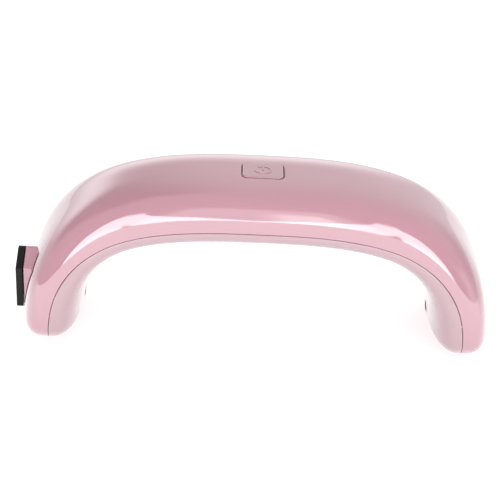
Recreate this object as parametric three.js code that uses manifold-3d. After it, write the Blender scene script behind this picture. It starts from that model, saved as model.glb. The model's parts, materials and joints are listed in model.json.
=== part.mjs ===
// Mini nail lamp: an arch of two moulded halves that stands over a hand, with a push button on its crown,
// an inlet in a boss on the left leg and three LED units that shine into the hand space.
// Millimetres. +X is to the right, -Y to the front, +Z up. The origin is the middle of the footprint.
import * as THREE from 'three';
import { mergeVertices } from 'three/addons/utils/BufferGeometryUtils.js';
import Module from 'manifold-3d';

const wasm = await Module();
wasm.setup();

// Driving dimensions of the arch, along the parting line of its two halves
const archHalfWidth = 68;
const archRise = 42.6;
const legFoot = 1.6;
const archRoundShare = 0.698; // 1 is an ellipse, 0 a rectangle

// Section of the casing: front to back, out from the parting line, and in from it
const crownDepth = 44.2;
const legDepth = 52;
const crownBulge = 12.6;
const legBulge = 9.6;
const crownInnerBulge = 6.8;
const legInnerBulge = 9.7;
const outerRoundShare = 0.564;
const innerRoundShare = 0.75;
const flareStartShare = 0.149; // of half the arch's length, from the tip
const flareEndShare = 0.553;

// Rounded tips of the legs, cut flat where they stand
const tipDepthRound = 11.7;
const tipBulgeRound = 8.8;
const tipDepthRoundShare = 0.762;
const tipBulgeRoundShare = 1.09;
const landCut = 0.4;

// Mouldings
const wall = 2;
const seamGap = 0.3;
const fitGap = 0.3;
const overrun = 6;

// Push button on the crown, and its travel down into the casing
const buttonLength = 13.4;
const buttonDepth = 11.4;
const buttonCorner = 1.8;
const buttonProud = 0.35;
const buttonSkin = 1.2;
const buttonFlangeWidth = 1.3;
const buttonFlangeHeight = 1;
const buttonStemRadius = 1.5;
const buttonStemLength = 0.9;
const buttonTravel = 0.5;
const signRadius = 2.9;
const signLine = 0.6;
const signHeight = 0.25;
const signBarLength = 3.2;
const signOpeningShare = 0.2; // of the full turn, where the ring is open for the bar

// Tact switch under the button
const switchWidth = 6;
const switchFloor = 0.7;
const switchWellRadius = 2.5;
const coverThickness = 0.3;
const plungerRadius = 1.7;
const plungerRest = 0.4; // what still stands out of the cover when it is pressed
const plungerFlangeRadius = 2.1;
const plungerFlangeHeight = 0.5;
const domeRadius = 2.1;
const domeRise = 0.25;
const domeThickness = 0.15;

// Circuit boards
const boardThickness = 1.2;
const controlLength = 46;
const controlHoleInset = 3;
const controlSideGap = 1.1; // from its edges to the screws of the LED board under it
const ledBoardLength = 14;
const ledBoardDepth = 29;
const ledHoleInset = 2.5;
const boardCorner = 1.5;
const boardPostRadius = 2.2;

// Parts on the control board
const coilWidth = 6;
const coilHeight = 3;
const coilCorner = 1;
const capacitorRadius = 2.5;
const capacitorHeight = 5.2;
const capacitorBase = 0.6;
const chipLength = 3.9;
const chipDepth = 4.9;
const chipHeight = 1.5;
const resistorLength = 2;
const resistorDepth = 1.25;
const resistorHeight = 0.55;
const resistorSide = 3.5;
const chipGapShare = 0.4623; // of the room left over between the switch and the right post
const capacitorGapShare = 0.2547;
const resistorGapShare = 0.4412; // of the room left over between the switch and the left post
const coilGapShare = 0.3676;

// LED units: a lens in the panel, a reflector behind it, and an LED on its board
const sideUnitShare = 0.19; // of the arch's length, from either tip
const windowRadius = 7.2;
const lensRadius = 8.2;
const lensThickness = 1.3;
const lensSink = 0.25;
const lensDome = 0.25;
const ledgeThickness = 1.4;
const collarRadius = 10;
const reflectorHeight = 3;
const reflectorRim = 0.8;
const reflectorFlangeWidth = 1.4;
const reflectorThroatRadius = 3.6;
const reflectorWall = 1;
const ledWidth = 4.4;
const ledBase = 0.9;
const ledDomeRadius = 1.7;

// Screws
const panelScrewShares = [0.05, 0.335];
const panelPostRadius = 3.5;
const panelSeatDrop = 2.6;
const bossRadius = 2.8;
const boardScrewRadius = 0.9;
const boardScrewHeadRadius = 1.9;
const boardScrewHeadHeight = 1.1;
const boardScrewGrip = 3.2;
const panelScrewRadius = 1.2;
const panelScrewHeadRadius = 2.4;
const panelScrewHeadHeight = 1.6;
const panelScrewGrip = 5.2;
const screwTip = 0.9;
const holeEnd = 0.7;
const recessWidth = 0.7;
const recessDepth = 0.7;
const recessLengthShare = 1.2; // of the head's radius
const headCrownShare = 0.75; // of the head's radius

// Inlet on the left leg: a six-sided boss, its black plate, and the receptacle on its board
const portReach = 3; // how far the plate stands out past the leg
const portHeight = 16.6;
const plateThickness = 2.3;
const plateBevel = 0.3;
const plateHalfWidth = 8.4;
const plateTopHalfWidth = 0.6;
const plateBottomHalfWidth = 6.9;
const plateTopHeight = 25.3;
const plateSideHeight = 21.2;
const plateBottomHeight = 6.2;
const pegRadius = 1;
const pegLength = 1.8;
const pegSpacing = 8;
const upperPegHeight = 20.9;
const lowerPegHeight = 10.6;
const receptacleWidth = 7.5;
const receptacleHeight = 2.6;
const receptacleLength = 6.4;
const receptacleWall = 0.4;
const receptacleSink = 1.2;
const tongueWidth = 3.9;
const tongueHeight = 0.7;
const tongueLength = 4.6;
const inletBoardDepth = 17.8; // its screws stand behind the boss, where the wall is thick enough for them
const inletBoardHeight = 8;
const inletHoleInset = 2.7;

// Wires
const wireRadius = 0.6;
const wireSides = 6;
const longWireSteps = 16;
const shortWireSteps = 10;
const wireBend = 2;
const wireLift = 4.8;
const inletPadSide = 2.2;
const inletWireSide = 4;
const inletWireShares = [0.135, 0.17, 0.22, 0.28, 0.34];
const sideWireSide = 7;
const sideWireShares = [0.25, 0.3, 0.345];
const ledPadPlace = 4.5;
const ledPadSide = 7;
const centrePadSide = 4.5;
const padInset = 2;

// Facets
const tipSteps = 5;
const sideSteps = 15;
const ringSteps = 24;
const cornerSteps = 3;
const roundSteps = 20;
const smallSteps = 10;
const signSteps = 10;
const arcSteps = 1000;

// Materials
const glossPink = { color: '#d8a6b5', roughness: 0.18, metalness: 0 };
const satinBlack = { color: '#26262a', roughness: 0.45, metalness: 0 };
const steel = { color: '#b9bcc2', roughness: 0.3, metalness: 1 };
const boardGreen = { color: '#1f5b3a', roughness: 0.5, metalness: 0 };
const boardWhite = { color: '#e9e9e4', roughness: 0.45, metalness: 0 };
const partBlack = { color: '#1d1d20', roughness: 0.5, metalness: 0 };
const ferrite = { color: '#6d6a68', roughness: 0.6, metalness: 0.2 };
const mirror = { color: '#dfe1e4', roughness: 0.12, metalness: 1 };
const clear = { color: '#eef2f6', roughness: 0.08, metalness: 0 };
const phosphor = { color: '#f0dfa0', roughness: 0.3, metalness: 0 };
const wireRed = { color: '#b3202a', roughness: 0.4, metalness: 0 };
const wireBlack = { color: '#232326', roughness: 0.4, metalness: 0 };

// A point of the unit superellipse in the direction of an angle
function roundedUnit(angle, roundShare) {
  const power = 2 / roundShare;
  const across = Math.cos(angle);
  const up = Math.sin(angle);
  const size = (Math.abs(across) ** power + Math.abs(up) ** power) ** (-1 / power);
  return [size * across, size * up];
}

// The parting line from the left tip over the crown to the right tip, in the XZ plane
const footShare = 0.02;
class PartingLine extends THREE.Curve {
  getPoint(share, target = new THREE.Vector3()) {
    const along = (share - footShare) / (1 - 2 * footShare);
    const nearTip = Math.min(share, 1 - share) / footShare;
    if (along <= 0) return target.set(-archHalfWidth, 0, (legFoot + landCut) * nearTip - landCut);
    if (along >= 1) return target.set(archHalfWidth, 0, (legFoot + landCut) * nearTip - landCut);
    const [across, up] = roundedUnit(Math.PI * (1 - along), archRoundShare);
    return target.set(archHalfWidth * across, 0, legFoot + archRise * up);
  }
}
const partingLine = new PartingLine();
partingLine.arcLengthDivisions = arcSteps;
const archLength = partingLine.getLength();

// A frame on the parting line: X along it, Z out of the arch
function frameOnArch(share, lift = 0, side = 0) {
  const along = partingLine.getTangentAt(share);
  const out = new THREE.Vector3(-along.z, 0, along.x);
  const across = new THREE.Vector3(0, 1, 0);
  const place = partingLine.getPointAt(share).addScaledVector(out, lift).addScaledVector(across, side);
  return new THREE.Matrix4().makeBasis(along, across, out).setPosition(place);
}

function onArch(share, lift, side) {
  return new THREE.Vector3().setFromMatrixPosition(frameOnArch(share, lift, side));
}

// The rounding of a tip: 0 at the tip, 1 from the end of the round on
function tipCap(fromTip, round, roundShare) {
  const power = 2 / roundShare;
  const left = 1 - THREE.MathUtils.clamp(fromTip / round, 0, 1);
  return (1 - left ** power) ** (1 / power);
}

// Half depth, outer and inner bulge of the casing at a distance from the nearer tip
function sectionAt(fromTip, inset = 0) {
  const flare = THREE.MathUtils.smoothstep((2 * fromTip) / archLength, flareStartShare, flareEndShare);
  const depthCap = tipCap(fromTip - inset, tipDepthRound - inset, tipDepthRoundShare);
  const bulgeCap = tipCap(fromTip - inset, tipBulgeRound - inset, tipBulgeRoundShare);
  return {
    halfDepth: (THREE.MathUtils.lerp(legDepth, crownDepth, flare) / 2 - inset) * depthCap,
    outer: (THREE.MathUtils.lerp(legBulge, crownBulge, flare) - inset) * bulgeCap,
    inner: (THREE.MathUtils.lerp(legInnerBulge, crownInnerBulge, flare) - inset) * bulgeCap,
  };
}

const innerBulgeAt = (share) => sectionAt(Math.min(share, 1 - share) * archLength).inner;

// Distances along the parting line where the casing has a ring of points, close together at the tips
function ringPlaces(inset) {
  const places = [];
  for (let step = 0; step <= tipSteps; step++) {
    const turn = (step / tipSteps) * (Math.PI / 2);
    places.push(inset + (tipDepthRound - inset) * (1 - Math.cos(turn)));
  }
  for (let step = 1; step <= sideSteps; step++) {
    places.push(THREE.MathUtils.lerp(tipDepthRound, archLength / 2, step / sideSteps));
  }
  const mirrored = places.slice(0, -1).reverse();
  return [...places, ...mirrored.map((place) => archLength - place)];
}

// The whole casing as one solid body, drawn in by an inset: a pole at each tip and rings between them
function casingBody(inset) {
  const places = ringPlaces(inset);
  const points = [];
  places.forEach((place, index) => {
    const fromTip = Math.min(place, archLength - place);
    const { halfDepth, outer, inner } = sectionAt(fromTip, inset);
    const isPole = index === 0 || index === places.length - 1;
    for (let step = 0; step < (isPole ? 1 : ringSteps); step++) {
      const angle = (2 * Math.PI * step) / ringSteps;
      const isOuter = angle <= Math.PI;
      const [across, up] = roundedUnit(angle, isOuter ? outerRoundShare : innerRoundShare);
      const lift = isPole ? 0 : up * (isOuter ? outer : inner);
      points.push(...onArch(place / archLength, lift, isPole ? 0 : -halfDepth * across).toArray());
    }
  });
  const faces = [];
  const lastRing = places.length - 2;
  const pointOf = (ring, step) => 1 + (ring - 1) * ringSteps + (step % ringSteps);
  const farPole = 1 + lastRing * ringSteps;
  for (let step = 0; step < ringSteps; step++) {
    faces.push(0, pointOf(1, step), pointOf(1, step + 1));
    for (let ring = 1; ring < lastRing; ring++) {
      faces.push(pointOf(ring, step), pointOf(ring + 1, step), pointOf(ring, step + 1));
      faces.push(pointOf(ring, step + 1), pointOf(ring + 1, step), pointOf(ring + 1, step + 1));
    }
    faces.push(pointOf(lastRing, step), farPole, pointOf(lastRing, step + 1));
  }
  const geometry = new THREE.BufferGeometry();
  geometry.setAttribute('position', new THREE.Float32BufferAttribute(points, 3));
  geometry.setIndex(faces);
  return geometry;
}

// Shapes in a piece's own frame, with Z as their axis
const rod = (radius, from, to, steps = smallSteps) =>
  new THREE.CylinderGeometry(radius, radius, to - from, steps)
    .rotateX(Math.PI / 2)
    .translate(0, 0, (from + to) / 2);

const block = (length, depth, from, to) =>
  new THREE.BoxGeometry(length, depth, to - from).translate(0, 0, (from + to) / 2);

const prism = (shape, from, to) =>
  new THREE.ExtrudeGeometry(shape, { depth: to - from, bevelEnabled: false, curveSegments: cornerSteps })
    .translate(0, 0, from);

// Turned from [radius, height] points that start and end on the axis or close on themselves
const turned = (profile, steps = roundSteps) =>
  new THREE.LatheGeometry(profile.map(([radius, height]) => new THREE.Vector2(radius, height)), steps)
    .rotateX(Math.PI / 2);

function roundedRectangle(length, depth, corner) {
  const [right, back] = [length / 2 - corner, depth / 2 - corner];
  const shape = new THREE.Shape();
  shape.absarc(right, back, corner, 0, Math.PI / 2);
  shape.absarc(-right, back, corner, Math.PI / 2, Math.PI);
  shape.absarc(-right, -back, corner, Math.PI, 1.5 * Math.PI);
  shape.absarc(right, -back, corner, 1.5 * Math.PI, 2 * Math.PI);
  return shape;
}

// Solids for joining and cutting
function solid(geometry, matrix = new THREE.Matrix4()) {
  const bare = geometry.clone().applyMatrix4(matrix);
  bare.deleteAttribute('normal');
  bare.deleteAttribute('uv');
  const merged = mergeVertices(bare);
  return new wasm.Manifold(new wasm.Mesh({
    numProp: 3,
    vertProperties: merged.attributes.position.array,
    triVerts: new Uint32Array(merged.index.array),
  }));
}

const joined = (first, ...others) => others.reduce((sum, other) => sum.add(other), first);
const cut = (first, ...others) => others.reduce((rest, other) => rest.subtract(other), first);

function geometryOf(body) {
  const { vertProperties, triVerts } = body.getMesh();
  const geometry = new THREE.BufferGeometry();
  geometry.setAttribute('position', new THREE.Float32BufferAttribute(vertProperties, 3));
  geometry.setIndex(new THREE.BufferAttribute(triVerts, 1));
  geometry.computeVertexNormals();
  return geometry;
}

function piece(name, shape, finish) {
  const geometry = shape.isBufferGeometry ? shape : geometryOf(shape);
  const mesh = new THREE.Mesh(geometry, new THREE.MeshStandardMaterial(finish));
  mesh.name = name;
  return mesh;
}

function groupAt(matrix, ...pieces) {
  const group = new THREE.Group();
  group.applyMatrix4(matrix);
  group.add(...pieces);
  return group;
}

// Everything inside the arch's parting line, moved out by a lift
function insideOfSeam(lift) {
  const [first, ...rest] = ringPlaces(0).map((place) => onArch(place / archLength, lift, 0));
  const shape = new THREE.Shape([new THREE.Vector2(first.x, first.z - overrun)]);
  [first, ...rest].forEach((point) => shape.lineTo(point.x, point.z));
  shape.lineTo(rest.at(-1).x, first.z - overrun);
  const across = legDepth + overrun;
  return solid(new THREE.ExtrudeGeometry(shape, { depth: across, bevelEnabled: false })
    .rotateX(Math.PI / 2)
    .translate(0, across / 2, 0));
}

// A pan-head screw that points down, with the underside of its head at 0
function screw({ radius, headRadius, headHeight, length }, crossed) {
  const profile = [
    [0, -length], [radius, -length + screwTip], [radius, 0], [headRadius, 0],
    [headRadius, headHeight / 2], [headRadius * headCrownShare, headHeight], [0, headHeight],
  ];
  const recess = headHeight - recessDepth;
  const slot = solid(block(headRadius * recessLengthShare, recessWidth, recess, headHeight + overrun));
  const body = cut(solid(turned(profile, smallSteps)), slot);
  return crossed ? cut(body, slot.rotate([0, 0, 90])) : body;
}

const boardScrew = {
  radius: boardScrewRadius,
  headRadius: boardScrewHeadRadius,
  headHeight: boardScrewHeadHeight,
  length: fitGap + boardThickness + boardScrewGrip,
};
const panelScrew = {
  radius: panelScrewRadius,
  headRadius: panelScrewHeadRadius,
  headHeight: panelScrewHeadHeight,
  length: fitGap + panelSeatDrop + seamGap / 2 + panelScrewGrip,
};
const boardHoleRadius = boardScrewRadius + fitGap;
const panelHoleRadius = panelScrewRadius + fitGap;
const upsideDown = new THREE.Matrix4().makeRotationX(Math.PI);

// Screw spacings, from the boards that the screws hold
const controlPostSpacing = controlLength - 2 * controlHoleInset;
const ledPostSpacing = ledBoardDepth - 2 * ledHoleInset;
const inletPostSpacing = inletBoardDepth - 2 * inletHoleInset;
const controlDepth = ledPostSpacing - 2 * (boardScrewHeadRadius + controlSideGap);

// Places on the control board, spread over the room between the switch and the posts
const controlRoom = controlPostSpacing / 2 - boardPostRadius - switchWidth / 2;
const capacitorFootRadius = capacitorRadius + fitGap;
const roomLeftOver = controlRoom - resistorLength - coilWidth;
const roomRightOver = controlRoom - chipLength - 2 * capacitorFootRadius;
const chipPlace = switchWidth / 2 + chipGapShare * roomRightOver + chipLength / 2;
const capacitorPlace = chipPlace + chipLength / 2 + capacitorGapShare * roomRightOver + capacitorFootRadius;
const resistorPlace = -switchWidth / 2 - resistorGapShare * roomLeftOver - resistorLength / 2;
const coilPlace = resistorPlace - resistorLength / 2 - coilGapShare * roomLeftOver - coilWidth / 2;

// Heights on the crown, out from the parting line
const ceiling = crownBulge - wall;
const flangeTop = ceiling - fitGap;
const flangeBottom = flangeTop - buttonFlangeHeight;
const stemEnd = flangeBottom - buttonStemLength;
const plungerTop = stemEnd - fitGap;
const coverTop = plungerTop - plungerRest - buttonTravel;
const coverBottom = coverTop - coverThickness;
const switchTop = coverBottom - fitGap;
const plungerFlangeBottom = switchTop - plungerFlangeHeight;
const domeTop = plungerFlangeBottom - buttonTravel - fitGap;
const domeLow = domeTop - domeThickness - domeRise;
const switchBottom = domeLow - fitGap - switchFloor;
const controlTop = switchBottom - fitGap;
const controlBottom = controlTop - boardThickness;
const crownFrame = frameOnArch(0.5);

// Heights in an LED unit, from the panel's outer face towards the shell
const lensBack = lensSink + lensThickness;
const ledgeBottom = lensBack + fitGap;
const collarTop = ledgeBottom + ledgeThickness;
const reflectorBottom = collarTop + fitGap;
const reflectorTop = reflectorBottom + reflectorHeight;
const ledBoardBottom = reflectorTop + fitGap;
const ledBoardTop = ledBoardBottom + boardThickness;
const ledUnits = { left: sideUnitShare, centre: 0.5, right: 1 - sideUnitShare };
const unitFrame = (share) => frameOnArch(share, -innerBulgeAt(share));

// Places of the inlet, along X
const plateFace = -(archHalfWidth + legBulge + portReach);
const plateBack = plateFace + plateThickness;
const receptacleFace = plateFace + receptacleSink;
const receptacleBack = receptacleFace + receptacleLength;
const inletBoardFace = receptacleBack + fitGap;
const inletBoardBack = inletBoardFace + boardThickness;

// A frame of the inlet: its Z points into the left leg, its X to the back and its Y up
const inletFrame = (height = portHeight, side = 0) =>
  new THREE.Matrix4()
    .makeBasis(new THREE.Vector3(0, 1, 0), new THREE.Vector3(0, 0, 1), new THREE.Vector3(1, 0, 0))
    .setPosition(0, side, height);

// The outline of the port plate and its boss, in YZ about the port
function portOutline() {
  const corners = [
    [plateBottomHalfWidth, plateBottomHeight],
    [plateHalfWidth, plateSideHeight],
    [plateTopHalfWidth, plateTopHeight],
  ];
  const half = corners.map(([side, height]) => [side, height - portHeight]);
  const other = half.map(([side, height]) => [-side, height]).reverse();
  return new THREE.Shape([...half, ...other].map(([side, height]) => new THREE.Vector2(side, height)));
}

const pegPlaces = [
  [-pegSpacing / 2, upperPegHeight],
  [pegSpacing / 2, upperPegHeight],
  [0, lowerPegHeight],
];

const portSlot = () =>
  solid(
    block(receptacleWidth + 2 * fitGap, receptacleHeight + 2 * fitGap, plateFace - overrun, inletBoardFace),
    inletFrame(),
  );

const screwPlaces = panelScrewShares.flatMap((share) => [share, 1 - share]);

// Both halves start from the same hollow casing, open between them along the seam
const outerBody = solid(casingBody(0));
const midWall = solid(casingBody(wall / 2));
const cavity = solid(casingBody(wall));
const floorHalf = archHalfWidth + legBulge + overrun;
const floor = solid(block(2 * floorHalf, 2 * floorHalf, -overrun, 0));

function outerShell() {
  const boss = solid(prism(portOutline(), plateBack + fitGap, -archHalfWidth), inletFrame());
  const posts = [
    ...screwPlaces.map((share) => solid(rod(bossRadius, seamGap / 2, crownBulge), frameOnArch(share))),
    ...[-1, 1].map((side) => solid(
      rod(boardPostRadius, controlTop + fitGap, crownBulge).translate((side * controlPostSpacing) / 2, 0, 0),
      crownFrame,
    )),
    ...[-1, 1].map((side) => solid(
      rod(boardPostRadius, plateBack + fitGap, inletBoardFace - fitGap),
      inletFrame(portHeight, (side * inletPostSpacing) / 2),
    )),
  ];
  const holes = [
    ...screwPlaces.map((share) => solid(
      rod(panelHoleRadius, -overrun, seamGap / 2 + panelScrewGrip + holeEnd),
      frameOnArch(share),
    )),
    ...[-1, 1].map((side) => solid(
      rod(boardHoleRadius, controlTop - overrun, controlTop + boardScrewGrip + holeEnd)
        .translate((side * controlPostSpacing) / 2, 0, 0),
      crownFrame,
    )),
    ...[-1, 1].map((side) => solid(
      rod(boardHoleRadius, inletBoardFace - boardScrewGrip - holeEnd, inletBoardFace),
      inletFrame(portHeight, (side * inletPostSpacing) / 2),
    )),
    ...pegPlaces.map(([side, height]) => solid(
      rod(pegRadius + fitGap, plateBack, plateBack + fitGap + pegLength + fitGap),
      inletFrame(height, side),
    )),
  ];
  const opening = roundedRectangle(
    buttonLength + 2 * fitGap,
    buttonDepth + 2 * fitGap,
    buttonCorner + fitGap,
  );
  const skin = cut(joined(outerBody, boss), cavity, insideOfSeam(seamGap / 2), floor);
  const insidePosts = joined(...posts).intersect(midWall);
  return cut(
    joined(skin, insidePosts),
    ...holes,
    solid(prism(opening, flangeBottom, crownBulge + overrun), crownFrame),
    portSlot(),
  );
}

function innerPanel() {
  const seats = Object.values(ledUnits).flatMap((share) => [
    solid(rod(collarRadius, 0, collarTop, roundSteps), unitFrame(share)),
    ...[-1, 1].map((side) => solid(
      rod(boardPostRadius, 0, ledBoardBottom - fitGap).translate(0, (side * ledPostSpacing) / 2, 0),
      unitFrame(share),
    )),
  ]);
  const posts = screwPlaces.map((share) =>
    solid(rod(panelPostRadius, -innerBulgeAt(share), -seamGap / 2), frameOnArch(share)));
  const holes = [
    ...Object.values(ledUnits).flatMap((share) => [
      solid(rod(windowRadius, -overrun, collarTop + overrun, roundSteps), unitFrame(share)),
      solid(rod(lensRadius + fitGap, -overrun, ledgeBottom, roundSteps), unitFrame(share)),
      ...[-1, 1].map((side) => solid(
        rod(boardHoleRadius, ledBoardBottom - boardScrewGrip - holeEnd, ledBoardBottom)
          .translate(0, (side * ledPostSpacing) / 2, 0),
        unitFrame(share),
      )),
    ]),
    ...screwPlaces.flatMap((share) => [
      solid(rod(panelHoleRadius, -panelSeatDrop, 0), frameOnArch(share)),
      solid(rod(panelScrewHeadRadius + fitGap, -innerBulgeAt(share) - overrun, -panelSeatDrop),
        frameOnArch(share)),
    ]),
  ];
  const inside = insideOfSeam(-seamGap / 2);
  const skin = cut(outerBody, cavity, floor).intersect(inside);
  const insidePosts = joined(...seats, ...posts).intersect(midWall).intersect(inside);
  return cut(joined(skin, insidePosts), ...holes);
}

// A generic on-off sign: an open ring and a bar
function onOffSign(from, to) {
  const opening = Math.PI * signOpeningShare;
  const ring = new THREE.Shape();
  ring.absarc(0, 0, signRadius, Math.PI / 2 + opening, 2.5 * Math.PI - opening);
  ring.absarc(0, 0, signRadius - signLine, 2.5 * Math.PI - opening, Math.PI / 2 + opening, true);
  const band = new THREE.ExtrudeGeometry(ring, {
    depth: to - from,
    bevelEnabled: false,
    curveSegments: signSteps,
  });
  const bar = block(signLine, signBarLength, from, to).translate(0, signRadius - signBarLength / 2, 0);
  return [solid(band.translate(0, 0, from)), solid(bar)];
}

function powerButton() {
  const outline = roundedRectangle(buttonLength, buttonDepth, buttonCorner);
  const flange = roundedRectangle(
    buttonLength + 2 * buttonFlangeWidth,
    buttonDepth + 2 * buttonFlangeWidth,
    buttonCorner,
  );
  const core = roundedRectangle(
    buttonLength - 2 * buttonSkin,
    buttonDepth - 2 * buttonSkin,
    buttonCorner / 2,
  );
  const top = crownBulge + buttonProud;
  const toCrown = new THREE.Matrix4().copy(crownFrame).invert();
  const cap = solid(prism(outline, flangeBottom, top + overrun)).intersect(
    solid(casingBody(0), toCrown).translate([0, 0, buttonProud]),
  );
  const hollow = cut(
    joined(cap, solid(prism(flange, flangeBottom, flangeTop))),
    solid(prism(core, flangeBottom - overrun, top - buttonSkin)),
  );
  const stem = solid(rod(buttonStemRadius, stemEnd, top - buttonSkin / 2));
  return joined(hollow, stem, ...onOffSign(top - buttonSkin / 2, top + signHeight));
}

function tactSwitch() {
  const body = cut(
    solid(block(switchWidth, switchWidth, switchBottom, switchTop)),
    solid(rod(switchWellRadius, switchBottom + switchFloor, switchTop + overrun)),
  );
  const cover = cut(
    solid(block(switchWidth, switchWidth, coverBottom, coverTop)),
    solid(rod(plungerRadius + fitGap, coverBottom - overrun, coverTop + overrun)),
  );
  const plunger = turned([
    [0, plungerFlangeBottom], [plungerFlangeRadius, plungerFlangeBottom],
    [plungerFlangeRadius, switchTop], [plungerRadius, switchTop],
    [plungerRadius, plungerTop], [0, plungerTop],
  ], smallSteps);
  const dome = turned([
    [0, domeLow + domeRise], [domeRadius, domeLow],
    [domeRadius, domeLow + domeThickness], [0, domeTop],
  ], smallSteps);
  return [
    piece('switch_body', body, partBlack),
    piece('switch_cover', cover, steel),
    piece('switch_plunger', plunger, partBlack),
    piece('switch_dome', dome, steel),
  ];
}

function board(length, depth, from, holePlaces) {
  const holes = holePlaces.map(([x, y]) =>
    solid(rod(boardHoleRadius, from - overrun, from + overrun).translate(x, y, 0)));
  const outline = roundedRectangle(length, depth, boardCorner);
  return cut(solid(prism(outline, from, from + boardThickness)), ...holes);
}

function controlUnit() {
  const screwPairs = [-1, 1].map((side) => [(side * controlPostSpacing) / 2, 0]);
  const seat = controlTop + fitGap;
  const can = turned([
    [0, seat], [capacitorFootRadius, seat], [capacitorFootRadius, seat + capacitorBase],
    [capacitorRadius, seat + capacitorBase], [capacitorRadius, seat + capacitorHeight],
    [0, seat + capacitorHeight],
  ], smallSteps).translate(capacitorPlace, 0, 0);
  const coil = prism(roundedRectangle(coilWidth, coilWidth, coilCorner), seat, seat + coilHeight);
  const chip = block(chipLength, chipDepth, seat, seat + chipHeight).translate(chipPlace, 0, 0);
  const resistors = ['front', 'back'].map((where, index) => piece(
    `resistor_${where}`,
    block(resistorLength, resistorDepth, seat, seat + resistorHeight)
      .translate(resistorPlace, (2 * index - 1) * resistorSide, 0),
    partBlack,
  ));
  const screws = ['left', 'right'].map((where, index) => {
    const mesh = piece(`control_screw_${where}`, screw(boardScrew, false), steel);
    mesh.rotation.x = Math.PI;
    mesh.position.set(screwPairs[index][0], 0, controlBottom - fitGap);
    return mesh;
  });
  return groupAt(
    crownFrame,
    piece('power_button', powerButton(), glossPink),
    ...tactSwitch(),
    piece('control_board', board(controlLength, controlDepth, controlBottom, screwPairs), boardGreen),
    piece('capacitor', can, steel),
    piece('driver_coil', coil.translate(coilPlace, 0, 0), ferrite),
    piece('timer_chip', chip, partBlack),
    ...resistors,
    ...screws,
  );
}

function ledUnit(where, share) {
  const screwPair = [-1, 1].map((side) => [0, (side * ledPostSpacing) / 2]);
  const lens = turned([
    [0, lensSink - lensDome], [lensRadius / 2, lensSink - lensDome / 2], [lensRadius, lensSink],
    [lensRadius, lensBack], [0, lensBack],
  ]);
  const bowl = turned([
    [windowRadius, reflectorBottom],
    [windowRadius + reflectorFlangeWidth, reflectorBottom],
    [windowRadius + reflectorFlangeWidth, reflectorBottom + reflectorRim],
    [windowRadius, reflectorBottom + reflectorRim],
    [reflectorThroatRadius + reflectorWall, reflectorTop],
    [reflectorThroatRadius, reflectorTop],
    [windowRadius, reflectorBottom],
  ]);
  const besidePosts = screwPair.map(([x, y]) =>
    solid(rod(boardPostRadius + fitGap, reflectorBottom - overrun, reflectorTop + overrun).translate(x, y, 0)));
  const reflector = cut(solid(bowl), ...besidePosts);
  const ledTop = ledBoardBottom - fitGap;
  const ledFace = ledTop - ledBase;
  const bulb = solid(
    new THREE.SphereGeometry(ledDomeRadius, smallSteps, smallSteps / 2)
      .rotateX(Math.PI / 2)
      .translate(0, 0, ledFace),
  );
  const dome = cut(bulb, solid(block(ledWidth, ledWidth, ledFace, ledFace + overrun)));
  const led = joined(solid(block(ledWidth, ledWidth, ledFace, ledTop)), dome);
  const screws = ['front', 'back'].map((side, index) => {
    const mesh = piece(`led_screw_${where}_${side}`, screw(boardScrew, false), steel);
    mesh.position.set(0, screwPair[index][1], ledBoardTop + fitGap);
    return mesh;
  });
  return groupAt(
    unitFrame(share),
    piece(`lens_${where}`, lens, clear),
    piece(`reflector_${where}`, reflector, mirror),
    piece(`led_${where}`, led, phosphor),
    piece(
      `led_board_${where}`,
      board(ledBoardLength, ledBoardDepth, ledBoardBottom, screwPair),
      boardWhite,
    ),
    ...screws,
  );
}

function panelScrews() {
  const names = ['leg_left', 'leg_right', 'arch_left', 'arch_right'];
  return screwPlaces.map((share, index) => {
    const mesh = piece(`panel_screw_${names[index]}`, screw(panelScrew, true), steel);
    mesh.applyMatrix4(upsideDown);
    mesh.position.z = -panelSeatDrop - fitGap;
    return groupAt(frameOnArch(share), mesh);
  });
}

function inletUnit() {
  const plate = new THREE.ExtrudeGeometry(portOutline(), {
    depth: plateThickness - 2 * plateBevel,
    bevelThickness: plateBevel,
    bevelSize: plateBevel,
    bevelOffset: -plateBevel,
    bevelSegments: 1,
  }).translate(0, 0, plateFace + plateBevel);
  const pegs = pegPlaces.map(([side, height]) =>
    solid(rod(pegRadius, plateBack - plateBevel, plateBack + pegLength), inletFrame(height, side)));
  const tube = cut(
    solid(block(receptacleWidth, receptacleHeight, receptacleFace, receptacleBack)),
    solid(block(
      receptacleWidth - 2 * receptacleWall,
      receptacleHeight - 2 * receptacleWall,
      receptacleFace - overrun,
      receptacleBack - receptacleWall,
    )),
  );
  const tongueBack = receptacleBack - receptacleWall - fitGap;
  const tongue = block(tongueWidth, tongueHeight, tongueBack - tongueLength, tongueBack);
  const screwPair = [-1, 1].map((side) => [(side * inletPostSpacing) / 2, 0]);
  const screws = ['front', 'back'].map((where, index) => {
    const mesh = piece(`inlet_screw_${where}`, screw(boardScrew, false), steel);
    mesh.position.set(screwPair[index][0], 0, inletBoardBack + fitGap);
    return mesh;
  });
  return [
    piece('port_bezel', cut(joined(solid(plate, inletFrame()), ...pegs), portSlot()), satinBlack),
    groupAt(
      inletFrame(),
      piece('usb_shell', tube, steel),
      piece('usb_tongue', tongue, partBlack),
      piece('usb_board', board(inletBoardDepth, inletBoardHeight, inletBoardFace, screwPair), boardGreen),
      ...screws,
    ),
  ];
}

// A wire through points, from one solder pad to another
function wire(name, points, steps, finish) {
  const corners = [];
  for (let side = 0; side < wireSides; side++) {
    const angle = (2 * Math.PI * side) / wireSides;
    corners.push(new THREE.Vector2(wireRadius * Math.cos(angle), wireRadius * Math.sin(angle)));
  }
  const extrudePath = new THREE.CatmullRomCurve3(points);
  const shape = new THREE.Shape(corners);
  return piece(name, new THREE.ExtrudeGeometry(shape, { steps, extrudePath, bevelEnabled: false }), finish);
}

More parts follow.
